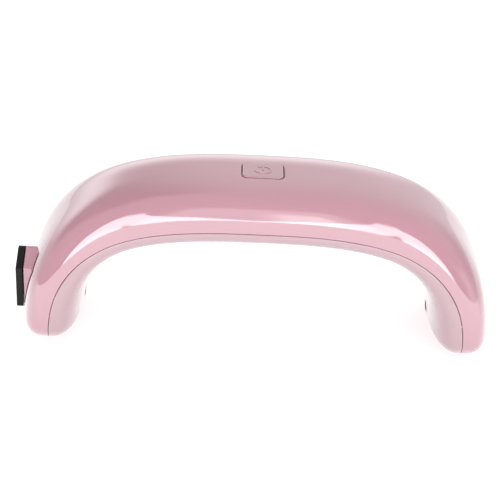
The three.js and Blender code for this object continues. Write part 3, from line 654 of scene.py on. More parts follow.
class Lamp:
    """What several pieces share, in the arch's own place, before the move to the frame's centre."""

    OVERRUN = 6 * MM
    POST = 2.2 * MM
    HOLE_END = 0.7 * MM
    BOARD_SCREW_HOLE = 3.2 * MM + HOLE_END

    def __init__(self, scene):
        self.sizes, self.button = scene.naillamp_arch, scene.naillamp_button
        self.inlet, self.light = scene.naillamp_inlet, scene.naillamp_light
        self.finish = scene.naillamp_finish
        self.arch = Arch(self.sizes)
        low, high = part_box("power_button")
        self.centre = Vector(((low.x + high.x) / 2, 0, 0))
        self.crown = self.arch.frame(self.arch.length / 2)
        self.control_top = self.box("control_board")[1].z - self.crown.translation.z
        self.plate_face = self.box("port_bezel")[0].x
        self.plate_back = self.plate_face + self.inlet.plate
        self.board_face = self.box("usb_board")[0].x
        light, fit = self.light, self.sizes.fit_gap
        self.lens_back = light.lens_sink + light.lens_thickness
        self.ledge_bottom = self.lens_back + fit
        self.collar_top = self.ledge_bottom + light.ledge
        self.reflector_low = self.collar_top + fit
        self.reflector_high = self.reflector_low + light.reflector_height
        self.led_board = self.reflector_high + fit
        self.control_screws = [
            self.crown @ Matrix.Translation((self.middle(f"control_screw_{side}").x, 0, 0))
            for side in ("left", "right")]
        self.inlet_screws = [to_inlet(self.inlet.height, self.middle(f"inlet_screw_{side}").y)
                             for side in ("front", "back")]

    def box(self, node):
        """A frame node's corners, in the arch's own place."""
        return [corner - self.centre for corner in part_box(node)]

    def middle(self, node):
        low, high = self.box(node)
        return (low + high) / 2

    def units(self):
        """The frames of the LED units, with their origin on the panel's face."""
        share_at = self.light.side_share
        for where, part in (("left", share_at), ("centre", 0.5), ("right", 1 - share_at)):
            from_tip = part * self.arch.length
            yield where, self.arch.frame(from_tip, -self.arch.section(from_tip)[2])

    def screws(self):
        for height, part in (("leg", self.light.screw_low), ("arch", self.light.screw_high)):
            yield f"{height}_left", part * self.arch.length
            yield f"{height}_right", (1 - part) * self.arch.length

    def port_corners(self):
        inlet = self.inlet
        half = [(inlet.bottom_half, inlet.bottom), (inlet.side_half, inlet.side), (inlet.top_half, inlet.top)]
        return half + [(-side, height) for side, height in reversed(half)]

    def pegs(self):
        inlet = self.inlet
        upper = [(side * inlet.peg_spacing / 2, inlet.peg_high) for side in (-1, 1)]
        return upper + [(0, inlet.peg_low)]

    def finished(self, piece, body, node, slot, *finishes):
        """Moves a piece to the frame's centre, gives it its finishes, ties it to its body and hides its node.
        """
        place(piece, Matrix.Translation(self.centre))
        piece.data.materials.clear()
        for finish in finishes:
            piece.data.materials.append(finish)
        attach(piece, body)
        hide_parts(node)
        return piece

    def repeated(self, model, places, name, node, slot, *finishes):
        """Puts a finished copy of a model at each place, and removes the model."""
        pieces = [self.finished(place(copied(model, f"{name}_{where}"), at), "casing", f"{node}_{where}",
                                slot, *finishes) for where, at in places]
        remove(model)
        return pieces


# Materials

def linear(value):
    """An sRGB hex colour as linear values, with its alpha."""
    parts = [int(value[index:index + 2], 16) / 255 for index in (1, 3, 5)]
    return (*(part / 12.92 if part <= 0.04045 else ((part + 0.055) / 1.055) ** 2.4 for part in parts), 1.0)


def add_node(tree, kind, inputs=None, **settings):
    """Adds a node. An input is a value, a socket to link from or a node whose first output is linked."""
    node = tree.nodes.new("ShaderNode" + kind)
    for key, value in settings.items():
        setattr(node, key, value)
    for socket, value in (inputs or {}).items():
        if isinstance(value, bpy.types.Node):
            value = value.outputs[0]
        if isinstance(value, bpy.types.NodeSocket):
            tree.links.new(value, node.inputs[socket])
        else:
            node.inputs[socket].default_value = value
    return node


def new_material(name):
    """An empty material with its node tree, and Object coordinates."""
    material = bpy.data.materials.new(name)
    material.use_nodes = True
    tree = material.node_tree
    tree.nodes.clear()
    return material, tree, add_node(tree, "TexCoord").outputs["Object"]


def surfaced(material, shader):
    add_node(material.node_tree, "OutputMaterial", {"Surface": shader})
    return material


def varied(material, tone_by, tones, rough_by, roughs, surface, span=(0.3, 0.7)):
    """Ends a material with a shader whose tone and roughness each follow a factor between two values."""
    tree = material.node_tree
    tone = add_node(tree, "Mix", {0: tone_by, 6: linear(tones[0]), 7: linear(tones[1])}, data_type="RGBA")
    rough = add_node(tree, "MapRange", {"Value": rough_by, "From Min": span[0], "From Max": span[1],
                                        "To Min": roughs[0], "To Max": roughs[1]})
    return surfaced(material, add_node(tree, "BsdfPrincipled", {
        "Base Color": tone.outputs[2], "Roughness": rough, **surface}))


def speckled(name, tones, grain, roughs, relief, surface, detail=2, roughness=0.5):
    """A material whose tone, roughness and relief (strength and depth) all follow one noise."""
    material, tree, place_at = new_material(name)
    noise = add_node(tree, "TexNoise", {
        "Vector": place_at, "Scale": 1 / grain, "Detail": detail, "Roughness": roughness})
    if relief:
        bump = add_node(tree, "Bump", {"Height": noise, "Strength": relief[0], "Distance": relief[1]})
        surface = {"Normal": bump, **surface}
    return varied(material, noise, tones, noise, roughs, surface)


def gloss_abs(name, colour, deep):
    """ABS, injection-moulded in a polished mould: a clear, mirror-like gloss over an even, opaque pink.

    The pigment flows a little unevenly over some 20 mm. The surface has the long, faint waves of
    shrinkage, about 9 mm apart and a few thousandths of a millimetre deep, and a fine haze of
    handling that softens the gloss."""
    material, tree, place_at = new_material(name)
    flow = add_node(tree, "TexNoise", {
        "Vector": place_at, "Scale": 1 / (20 * MM), "Detail": 3, "Roughness": 0.55})
    haze = add_node(tree, "TexNoise", {
        "Vector": place_at, "Scale": 1 / (6 * MM), "Detail": 6, "Roughness": 0.65})
    waves = add_node(tree, "TexNoise", {
        "Vector": place_at, "Scale": 1 / (9 * MM), "Detail": 1, "Roughness": 0.3})
    waved = add_node(tree, "Bump", {"Height": waves, "Strength": 0.35, "Distance": 0.03 * MM})
    grain = add_node(tree, "TexNoise", {"Vector": place_at, "Scale": 1 / (0.5 * MM), "Detail": 2})
    grained = add_node(tree, "Bump", {
        "Height": grain, "Normal": waved, "Strength": 0.3, "Distance": 0.0015 * MM})
    return varied(material, flow, (colour, deep), haze, (0.04, 0.08), {
        "Normal": grained, "IOR": 1.65, "Coat Weight": 1, "Coat Roughness": 0.02, "Coat IOR": 1.9,
        "Coat Normal": waved}, span=(0.3, 0.75))


def grained_plastic(name, colour, deep, grain, depth, roughness, ior=1.54, sheen=0.5):
    """A moulded plastic with an etched grain: its tone and its sheen vary from grain to grain."""
    return speckled(name, (deep, colour), grain, (roughness - 0.05, roughness + 0.07), (0.5, depth),
                    {"IOR": ior, "Specular IOR Level": sheen}, detail=4, roughness=0.6)


def plated_metal(name, colour, deep, roughness, scratch):
    """A plated or drawn metal: fine lines along one direction, and a tone that clouds over a few mm."""
    material, tree, place_at = new_material(name)
    stretched = add_node(tree, "Mapping", {"Vector": place_at, "Scale": (1, 12, 12)})
    lines = add_node(tree, "TexNoise", {
        "Vector": stretched, "Scale": 1 / scratch, "Detail": 5, "Roughness": 0.7})
    clouds = add_node(tree, "TexNoise", {"Vector": place_at, "Scale": 1 / (3 * MM), "Detail": 3})
    bump = add_node(tree, "Bump", {"Height": lines, "Strength": 0.3, "Distance": 0.004 * MM})
    return varied(material, clouds, (colour, deep), lines, (roughness * 0.7, roughness * 1.4),
                  {"Normal": bump, "Metallic": 1})


def laminate(name, mask, copper):
    """A glass-fibre laminate under solder mask: the copper traces show as slightly lighter, raised bands."""
    material, tree, place_at = new_material(name)
    traces = add_node(tree, "TexVoronoi", {"Vector": place_at, "Scale": 1 / (2.4 * MM)},
                      feature="F1", distance="MANHATTAN")
    edge = add_node(tree, "MapRange", {"Value": traces, "From Min": 0.42, "From Max": 0.48})
    weave = add_node(tree, "TexNoise", {"Vector": place_at, "Scale": 1 / (0.5 * MM), "Detail": 2})
    bump = add_node(tree, "Bump", {"Height": edge, "Strength": 0.5, "Distance": 0.035 * MM}, invert=True)
    return varied(material, edge, (copper, mask), weave, (0.3, 0.42), {"Normal": bump, "IOR": 1.5})


# Operators, one for each piece or group of like pieces

class PieceOperator:
    """What the piece operators share."""

    bl_options = {"REGISTER"}

    def execute(self, context):
        self.build(Lamp(context.scene))
        deselect()
        return {"FINISHED"}


class NAILLAMP_OT_outer_shell(PieceOperator, bpy.types.Operator):
    """Moulds the outer half of the casing, with the boss for the inlet and the opening for the button"""

    bl_idname = "naillamp.outer_shell"
    bl_label = "Outer shell"

    OPENING_ROUND = 0.3 * MM
    ROUND_STEPS = 4

    def build(self, lamp):
        arch, sizes, fit = lamp.arch, lamp.sizes, lamp.sizes.fit_gap
        shell = half_shell("outer_shell_moulding", arch, True)
        middle = casing_body("shell_middle", arch, sizes.wall / 2)
        boss = prism("boss", lamp.port_corners(), lamp.plate_back + fit, -sizes.half_width)
        round_edges(boss, lamp.inlet.boss_round, sharper=25)
        combine(place(boss, to_inlet()), copied(middle, "boss_cutter"), "DIFFERENCE")
        posts = rods("shell_posts", [
            *((arch.frame(at), lamp.light.screw_boss, sizes.seam_gap / 2, sizes.crown_bulge)
              for _, at in lamp.screws()),
            *((at, lamp.POST, lamp.control_top + fit, sizes.crown_bulge) for at in lamp.control_screws),
            *((at, lamp.POST, lamp.plate_back + fit, lamp.board_face - fit) for at in lamp.inlet_screws),
        ])
        combine(posts, middle, "INTERSECT")
        combine(shell, join("shell_additions", [boss, posts]), "UNION")
        combine(shell, self.cutters(lamp), "DIFFERENCE")
        lamp.finished(smooth(shell), "casing", "outer_shell", "gloss_pink_outer", gloss_abs(
            "Gloss moulded ABS, outer pink", lamp.finish.shell, lamp.finish.shell_deep))

    def cutters(self, lamp):
        """The opening for the button, the slot for the receptacle and the holes for screws and pegs."""
        sizes, inlet, light, button = lamp.sizes, lamp.inlet, lamp.light, lamp.button
        fit, deep = sizes.fit_gap, lamp.BOARD_SCREW_HOLE
        shank_end = sizes.seam_gap / 2 + light.screw_grip + lamp.HOLE_END
        holes = rods("shell_holes", [
            *((lamp.arch.frame(at), light.screw_radius + fit, -lamp.OVERRUN, shank_end)
              for _, at in lamp.screws()),
            *((at, light.board_hole, lamp.control_top - fit, lamp.control_top + deep)
              for at in lamp.control_screws),
            *((at, light.board_hole, lamp.board_face - deep, lamp.board_face) for at in lamp.inlet_screws),
            *((to_inlet(height, side), inlet.peg_radius + fit, lamp.plate_back,
               lamp.plate_back + inlet.peg_length + 2 * fit) for side, height in lamp.pegs()),
        ])
        width, depth, rim = button.size_x + 2 * fit, button.size_y + 2 * fit, self.OPENING_ROUND
        opening = rounded_block("button_opening", width, depth, sizes.crown_bulge - 3 * sizes.wall,
                                sizes.crown_bulge - rim, button.corner + fit, 8)
        pick_end(opening, 1)
        risen, grown = 0.0, 0.0
        for step in range(1, self.ROUND_STEPS + 1):
            part = QUARTER * step / self.ROUND_STEPS
            rise, grow = rim * math.sin(part), 2 * rim * (1 - math.cos(part))
            extrude(rise - risen, (width + grow) / (width + grown), (depth + grow) / (depth + grown))
            risen, grown = rise, grow
        extrude(lamp.OVERRUN)
        done(opening)
        slot = rounded_block("port_opening", inlet.receptacle_width + 2 * fit,
                             inlet.receptacle_height + 2 * fit, lamp.plate_face - lamp.OVERRUN,
                             lamp.board_face, inlet.slot_corner)
        return join("shell_cutters", [place(opening, lamp.crown), place(slot, to_inlet(inlet.height)), holes])


class NAILLAMP_OT_inner_panel(PieceOperator, bpy.types.Operator):
    """Moulds the inner half of the casing, with its windows, collars, posts and screw seats"""

    bl_idname = "naillamp.inner_panel"
    bl_label = "Inner panel"

    def build(self, lamp):
        arch, sizes, light = lamp.arch, lamp.sizes, lamp.light
        fit, over = sizes.fit_gap, lamp.OVERRUN
        panel = half_shell("inner_panel_moulding", arch, False)
        added, cut = [], []
        hole_side = light.board_depth / 2 - light.board_hole_inset
        for where, at in lamp.units():
            added.append((at, light.collar, 0, lamp.collar_top))
            rim, top = light.lens_radius + fit, lamp.collar_top + over
            cut.append(place(turned(f"window_{where}", [
                (0, -over), (rim, -over), (rim, lamp.ledge_bottom), (light.window, lamp.ledge_bottom),
                (light.window, top), (0, top)], 96), at))
            for side in (-1, 1):
                post = at @ Matrix.Translation((0, side * hole_side, 0))
                added.append((post, lamp.POST, 0, lamp.led_board - fit))
                cut.append(place(rod(f"board_hole_{where}_{side}", light.board_hole,
                                     lamp.led_board - lamp.BOARD_SCREW_HOLE, lamp.led_board), post))
        for name, from_tip in lamp.screws():
            at, bulge, seat = arch.frame(from_tip), arch.section(from_tip)[2], -light.screw_seat
            added.append((at, light.screw_post, -bulge, -sizes.seam_gap / 2))
            head, shank = light.screw_head + fit, light.screw_radius + fit
            cut.append(place(turned(f"seat_{name}", [
                (0, -bulge - over), (head, -bulge - over), (head, seat), (shank, seat), (shank, fit),
                (0, fit)], 40), at))
        middle = casing_body("panel_middle", arch, sizes.wall / 2)
        posts = combine(rods("panel_posts", added), middle, "INTERSECT", crossing=True)
        combine(panel, posts, "UNION")
        combine(panel, join("panel_cutters", cut), "DIFFERENCE")
        lamp.finished(smooth(panel), "casing", "inner_panel", "gloss_pink_inner", gloss_abs(
            "Gloss moulded ABS, inner pink", lamp.finish.panel, lamp.finish.panel_deep))


class NAILLAMP_OT_power_button(PieceOperator, bpy.types.Operator):
    """Moulds the push button: a rounded cap with a raised sign, on a flange and a stem"""

    bl_idname = "naillamp.power_button"
    bl_label = "Power button"

    SIGN_OPENING = 0.2 * math.pi
    SIGN_ROUND = 0.1 * MM

    def build(self, lamp):
        sizes, button = lamp.sizes, lamp.button
        flange_top = sizes.crown_bulge - sizes.wall - sizes.fit_gap
        flange_low = flange_top - button.flange_height
        top = sizes.crown_bulge + button.proud
        wide, deep = button.size_x + 2 * button.flange_width, button.size_y + 2 * button.flange_width
        cap = rounded_block("power_button_moulding", wide, deep, flange_low, flange_top,
                            button.corner * wide / button.size_x, 8)
        pick_end(cap, 1)
        extrude(0, button.size_x / wide, button.size_y / deep)
        extrude(top - flange_top)
        pick_end(cap, -1)
        extrude(0, (button.size_x - 2 * button.skin) / wide, (button.size_y - 2 * button.skin) / deep)
        extrude(top - button.skin - flange_low)
        done(cap)
        round_edges(cap, button.rim_round, level(top), segments=4)
        stem_low, stem_high = flange_low - button.stem_length, top - button.skin / 2
        stem = turned("stem", [(0, stem_low), (button.stem_radius, stem_low),
                               (button.stem_radius, stem_high), (0, stem_high)], 40)
        for part in (stem, *self.sign(button, top)):
            combine(cap, part, "UNION")
        smooth(place(cap, lamp.crown))
        lamp.finished(cap, "button", "power_button", "gloss_pink_button", gloss_abs(
            "Gloss moulded ABS, button pink", lamp.finish.button, lamp.finish.button_deep))

    def sign(self, button, top):
        """The ring, open at the back, and the bar of a generic on-off sign."""
        low, high = top - button.skin / 3, top + button.sign_height
        deselect()
        bpy.ops.mesh.primitive_plane_add(size=1, rotation=(QUARTER, 0, 0))
        ring = place(started("sign_ring"), Matrix.Rotation(QUARTER + self.SIGN_OPENING, 4, "Z")
                     @ Matrix.Translation((button.sign_radius - button.sign_line / 2, 0, (low + high) / 2))
                     @ Matrix.Diagonal((button.sign_line, 1, high - low, 1)))
        edit(ring, "FACE")
        bpy.ops.mesh.select_all(action="SELECT")
        bpy.ops.mesh.spin(
            steps=36, angle=2 * (math.pi - self.SIGN_OPENING), center=(0, 0, 0), axis=(0, 0, 1))
        weld()
        done(ring)
        bar = box("sign_bar", (-button.sign_line / 2, button.sign_radius - button.sign_bar, low),
                  (button.sign_line / 2, button.sign_radius, high))
        return [round_edges(part, self.SIGN_ROUND, level(high)) for part in (ring, bar)]


class NAILLAMP_OT_inlet_plate(PieceOperator, bpy.types.Operator):
    """Moulds the black six-sided plate of the inlet, with its slot and pegs"""

    bl_idname = "naillamp.inlet_plate"
    bl_label = "Inlet plate"

    def build(self, lamp):
        inlet, fit, face, back = lamp.inlet, lamp.sizes.fit_gap, lamp.plate_face, lamp.plate_back
        plate = prism("inlet_plate_moulding", lamp.port_corners(), face, back)
        round_edges(plate, inlet.plate_round, sharper=25)
        place(plate, to_inlet())
        combine(plate, rods("pegs", [(to_inlet(height, side), inlet.peg_radius, back - fit,
                                      back + inlet.peg_length) for side, height in lamp.pegs()]), "UNION")
        width, height = inlet.receptacle_width + 2 * fit, inlet.receptacle_height + 2 * fit
        slot = rounded_block("slot", width, height, face + fit, back + lamp.OVERRUN, inlet.slot_corner)
        pick_end(slot, -1)
        extrude(-fit, (width + 2 * fit) / width, (height + 2 * fit) / height)
        extrude(-fit)
        done(slot)
        combine(plate, place(slot, to_inlet(inlet.height)), "DIFFERENCE")
        # ABS moulded in a lightly etched mould: a soft sheen over fine grain, some 0.3 mm wide
        black = grained_plastic("Satin moulded ABS, black", lamp.finish.black, "#0c0c0e", 0.3 * MM,
                                0.004 * MM, 0.3, sheen=0.2)
        lamp.finished(smooth(plate), "casing", "port_bezel", "satin_black", black)


class NAILLAMP_OT_receptacle(PieceOperator, bpy.types.Operator):
    """Folds the metal shell of the receptacle"""

    bl_idname = "naillamp.receptacle"
    bl_label = "Receptacle"

    MOUTH_ROUND = 0.1 * MM

    def build(self, lamp):
        inlet = lamp.inlet
        half, up = inlet.receptacle_width / 2, inlet.receptacle_height / 2
        slope, corner = inlet.receptacle_slope, inlet.receptacle_corner
        right = [(half - slope, -up), (half, -up + slope), (half, up - corner), (half - corner, up)]
        low = lamp.plate_face + inlet.receptacle_sink
        shell = prism("receptacle_shell", right + [(-x, y) for x, y in reversed(right)],
                      low, low + inlet.receptacle_length)
        pick_end(shell, -1)
        bpy.ops.mesh.inset(thickness=inlet.receptacle_wall)
        extrude(inlet.receptacle_length - inlet.receptacle_wall)
        done(shell)
        round_edges(shell, self.MOUTH_ROUND, level(low), sharper=60, segments=2)
        # Steel strip, pressed, folded and nickel plated: warm grey with rolling lines
        nickel = plated_metal("Nickel plated steel", "#c9c7c2", "#b4b2ae", 0.28, 0.6 * MM)
        smooth(place(shell, to_inlet(inlet.height)))
        lamp.finished(shell, "casing", "usb_shell", "pressed_steel", nickel)


class NAILLAMP_OT_lenses(PieceOperator, bpy.types.Operator):
    """Moulds the clear disc of each window"""

    bl_idname = "naillamp.lenses"
    bl_label = "Window lenses"

    DOME_RINGS = (0, 0.15, 0.3, 0.45, 0.6, 0.75, 0.88)
    BACK_RING = 0.98

    def build(self, lamp):
        light, back = lamp.light, lamp.lens_back
        radius, edge, sink = light.lens_radius, light.lens_edge, light.lens_sink
        dome = [(radius * part, sink - light.lens_dome * (1 - part * part)) for part in self.DOME_RINGS]
        model = turned("lens_model", [
            *dome, (radius - edge, sink), (radius, sink + edge), (radius, back - edge),
            (radius - edge, back), (light.window * self.BACK_RING, back), (0, back)], 96)
        smooth(model, 30, weighted=False)
        # PMMA, injection-moulded and polished: colourless, with the faintest haze and shrinkage ripple
        acrylic = speckled("Clear moulded acrylic", ("#f4f8fa", "#eaf0f4"), 2 * MM, (0.02, 0.07),
                           (0.2, 0.005 * MM), {"IOR": 1.49, "Transmission Weight": 1}, detail=4)
        lamp.repeated(model, lamp.units(), "window_lens", "lens", "clear_lens", acrylic)


class NAILLAMP_OT_reflectors(PieceOperator, bpy.types.Operator):
    """Moulds the bowl behind each window"""

    bl_idname = "naillamp.reflectors"
    bl_label = "Reflectors"

    RINGS = 10
    OUTER_END = 2
    CURVE = 0.6

    def build(self, lamp):
        light, low, high = lamp.light, lamp.reflector_low, lamp.reflector_high

        def bowl(step, wall):
            """A point of a curve that opens to the window."""
            part = step / self.RINGS
            reach = (light.window - light.throat) * (1 - part) ** self.CURVE
            return light.throat + wall + reach, low + (high - low) * part

        flange = light.window + light.reflector_flange
        profile = [bowl(step, 0) for step in range(self.RINGS + 1)]
        profile += [bowl(step, light.reflector_wall) for step in range(self.RINGS, self.OUTER_END, -1)]
        profile += [(flange, low + light.reflector_rim), (flange, low)]
        model = smooth(turned("reflector_model", profile, 96, closed=True), 30, weighted=False)
        # ABS, metallised in a vacuum as in a torch: a bright mirror with faint ripples
        mirror = speckled("Vacuum metallised ABS", ("#e9eaec", "#d3d5d9"), 1.5 * MM, (0.06, 0.16),
                          (0.4, 0.01 * MM), {"Metallic": 1})
        lamp.repeated(model, lamp.units(), "reflector_bowl", "reflector", "reflector", mirror)


class NAILLAMP_OT_leds(PieceOperator, bpy.types.Operator):
    """Builds each LED: a ceramic base with a cast dome"""

    bl_idname = "naillamp.leds"
    bl_label = "LEDs"

    DOME_RINGS = 8

    def build(self, lamp):
        light = lamp.light
        top = lamp.led_board - lamp.sizes.fit_gap
        face = top - light.led_base
        base = rounded_block("led_base", light.led, light.led, face, top, light.led_corner, 3)
        round_edges(base, light.led_round, level(face), segments=2)
        radius, skirt = light.led_dome, face + light.led_skirt
        turns = [QUARTER * step / self.DOME_RINGS for step in range(self.DOME_RINGS + 1)]
        dome = [(radius * math.sin(part), face - radius * math.cos(part)) for part in turns]
        cap = turned("led_cap", dome + [(radius, skirt), (0, skirt)], 48)
        smooth(base, 30, weighted=False)
        smooth(cap, 50, weighted=False)
        base_faces = len(base.data.polygons)
        # Alumina ceramic, pressed and fired: dense and white with a fine matte grain
        ceramic = grained_plastic(
            "Fired alumina ceramic", "#efeeea", "#dfddd6", 0.2 * MM, 0.004 * MM, 0.5, 1.6)
        # Silicone with yellow phosphor, cast over the chip: a glossy skin over densely speckled resin
        phosphor = speckled(
            "Cast silicone with phosphor", ("#f3dc8a", "#e4c868"), 0.25 * MM, (0.1, 0.2), None,
            {"IOR": 1.41, "Subsurface Weight": 0.1, "Subsurface Scale": 0.5 * MM}, detail=3)
        model = join("led_model", [base, cap])
        for led in lamp.repeated(model, lamp.units(), "led_lamp", "led", "led_phosphor", ceramic, phosphor):
            for index, led_face in enumerate(led.data.polygons):
                led_face.material_index = 0 if index < base_faces else 1


class NAILLAMP_OT_panel_screws(PieceOperator, bpy.types.Operator):
    """Turns the four screws that hold the panel, with their cross recess"""

    bl_idname = "naillamp.panel_screws"
    bl_label = "Panel screws"

    HEAD_RINGS = 6
    CORE_SHARE = 0.8
    RECESS_SHARE = 0.6

    def build(self, lamp):
        light = lamp.light
        head, radius, pitch = light.screw_head, light.screw_radius, light.screw_pitch
        seat = -light.screw_seat - lamp.sizes.fit_gap
        top = seat - light.screw_head_height
        rim = seat - light.screw_head_rim
        tip = lamp.sizes.seam_gap / 2 + light.screw_grip
        turns = [QUARTER * step / self.HEAD_RINGS for step in range(1, self.HEAD_RINGS + 1)]
        dome = [(head * math.sin(part), rim - (rim - top) * math.cos(part)) for part in turns]
        profile = [(0, top), *dome, (head, seat), (radius, seat)]
        at = seat + pitch
        while at < tip - light.screw_tip:
            profile += [(radius * self.CORE_SHARE, at), (radius, at + pitch / 2)]
            at += pitch
        model = turned("screw_model", profile + [(radius * self.CORE_SHARE, at), (0, tip)], 48)
        reach = head * self.RECESS_SHARE
        for part in (0, QUARTER):
            arm = box("recess_arm", (-reach, -light.recess / 2, top - lamp.OVERRUN),
                      (reach, light.recess / 2, top + light.recess_depth))
            combine(model, place(arm, Matrix.Rotation(part, 4, "Z")), "DIFFERENCE")
        smooth(model, 30, weighted=False)
        # Steel, cold headed and rolled, zinc plated: bluish grey with a satin cloud
        zinc = plated_metal("Zinc plated steel", "#b9bec6", "#9fa5ae", 0.32, 0.5 * MM)
        places = [(name, lamp.arch.frame(from_tip)) for name, from_tip in lamp.screws()]
        lamp.repeated(model, places, "casing_screw", "panel_screw", "screw_steel", zinc)


class NAILLAMP_OT_inner_parts(bpy.types.Operator):
    """Gives the boards, components, wires and small screws inside the casing their finishes"""

    bl_idname = "naillamp.inner_parts"
    bl_label = "Inner parts"

    REBUILT = {
        "outer_shell", "inner_panel", "power_button", "port_bezel", "usb_shell",
        *(f"{kind}_{where}" for kind in ("lens", "reflector", "led")
          for where in ("left", "centre", "right")),
        *(f"panel_screw_{height}_{side}" for height in ("leg", "arch") for side in ("left", "right")),
    }

    def execute(self, context):
        finishes = {
            "pressed_steel": bpy.data.materials["Nickel plated steel"],
            "screw_steel": bpy.data.materials["Zinc plated steel"],
            # Epoxy moulding compound and PBT: grey-black with a fine, matte grain of 0.2 mm
            "component_black": grained_plastic(
                "Moulded epoxy, black", "#222225", "#18181a", 0.2 * MM, 0.004 * MM, 0.52),
            # Ferrite, pressed and sintered: dark grey, dull and slightly speckled
            "ferrite": grained_plastic(
                "Sintered ferrite", "#5d5a58", "#474543", 0.35 * MM, 0.008 * MM, 0.6, 1.8),
            # PVC insulation, extruded over the strands: a soft sheen along the wire
            "wire_red": grained_plastic(
                "Extruded PVC, red", "#b02029", "#981a22", 0.5 * MM, 0.003 * MM, 0.36, 1.53),
            "wire_black": grained_plastic(
                "Extruded PVC, black", "#242427", "#1b1b1d", 0.5 * MM, 0.003 * MM, 0.36, 1.53),
            # Aluminium, deep drawn over a mandrel: bright with fine lines up the can
            "can_aluminium": plated_metal("Drawn aluminium", "#c6c9cd", "#b3b6bb", 0.24, 0.5 * MM),
            "board_green": laminate("Laminate under green solder mask", "#1d5436", "#2d6a45"),
            "board_white": laminate("Laminate under white solder mask", "#e4e3dd", "#d9d8d1"),
        }
        for part in frame["record"]["subparts"]:
            if part["node"] not in self.REBUILT:
                for holder in frame["nodes"][part["node"]].material_slots:
                    holder.material = finishes[part["material_slot"]]
        return {"FINISHED"}


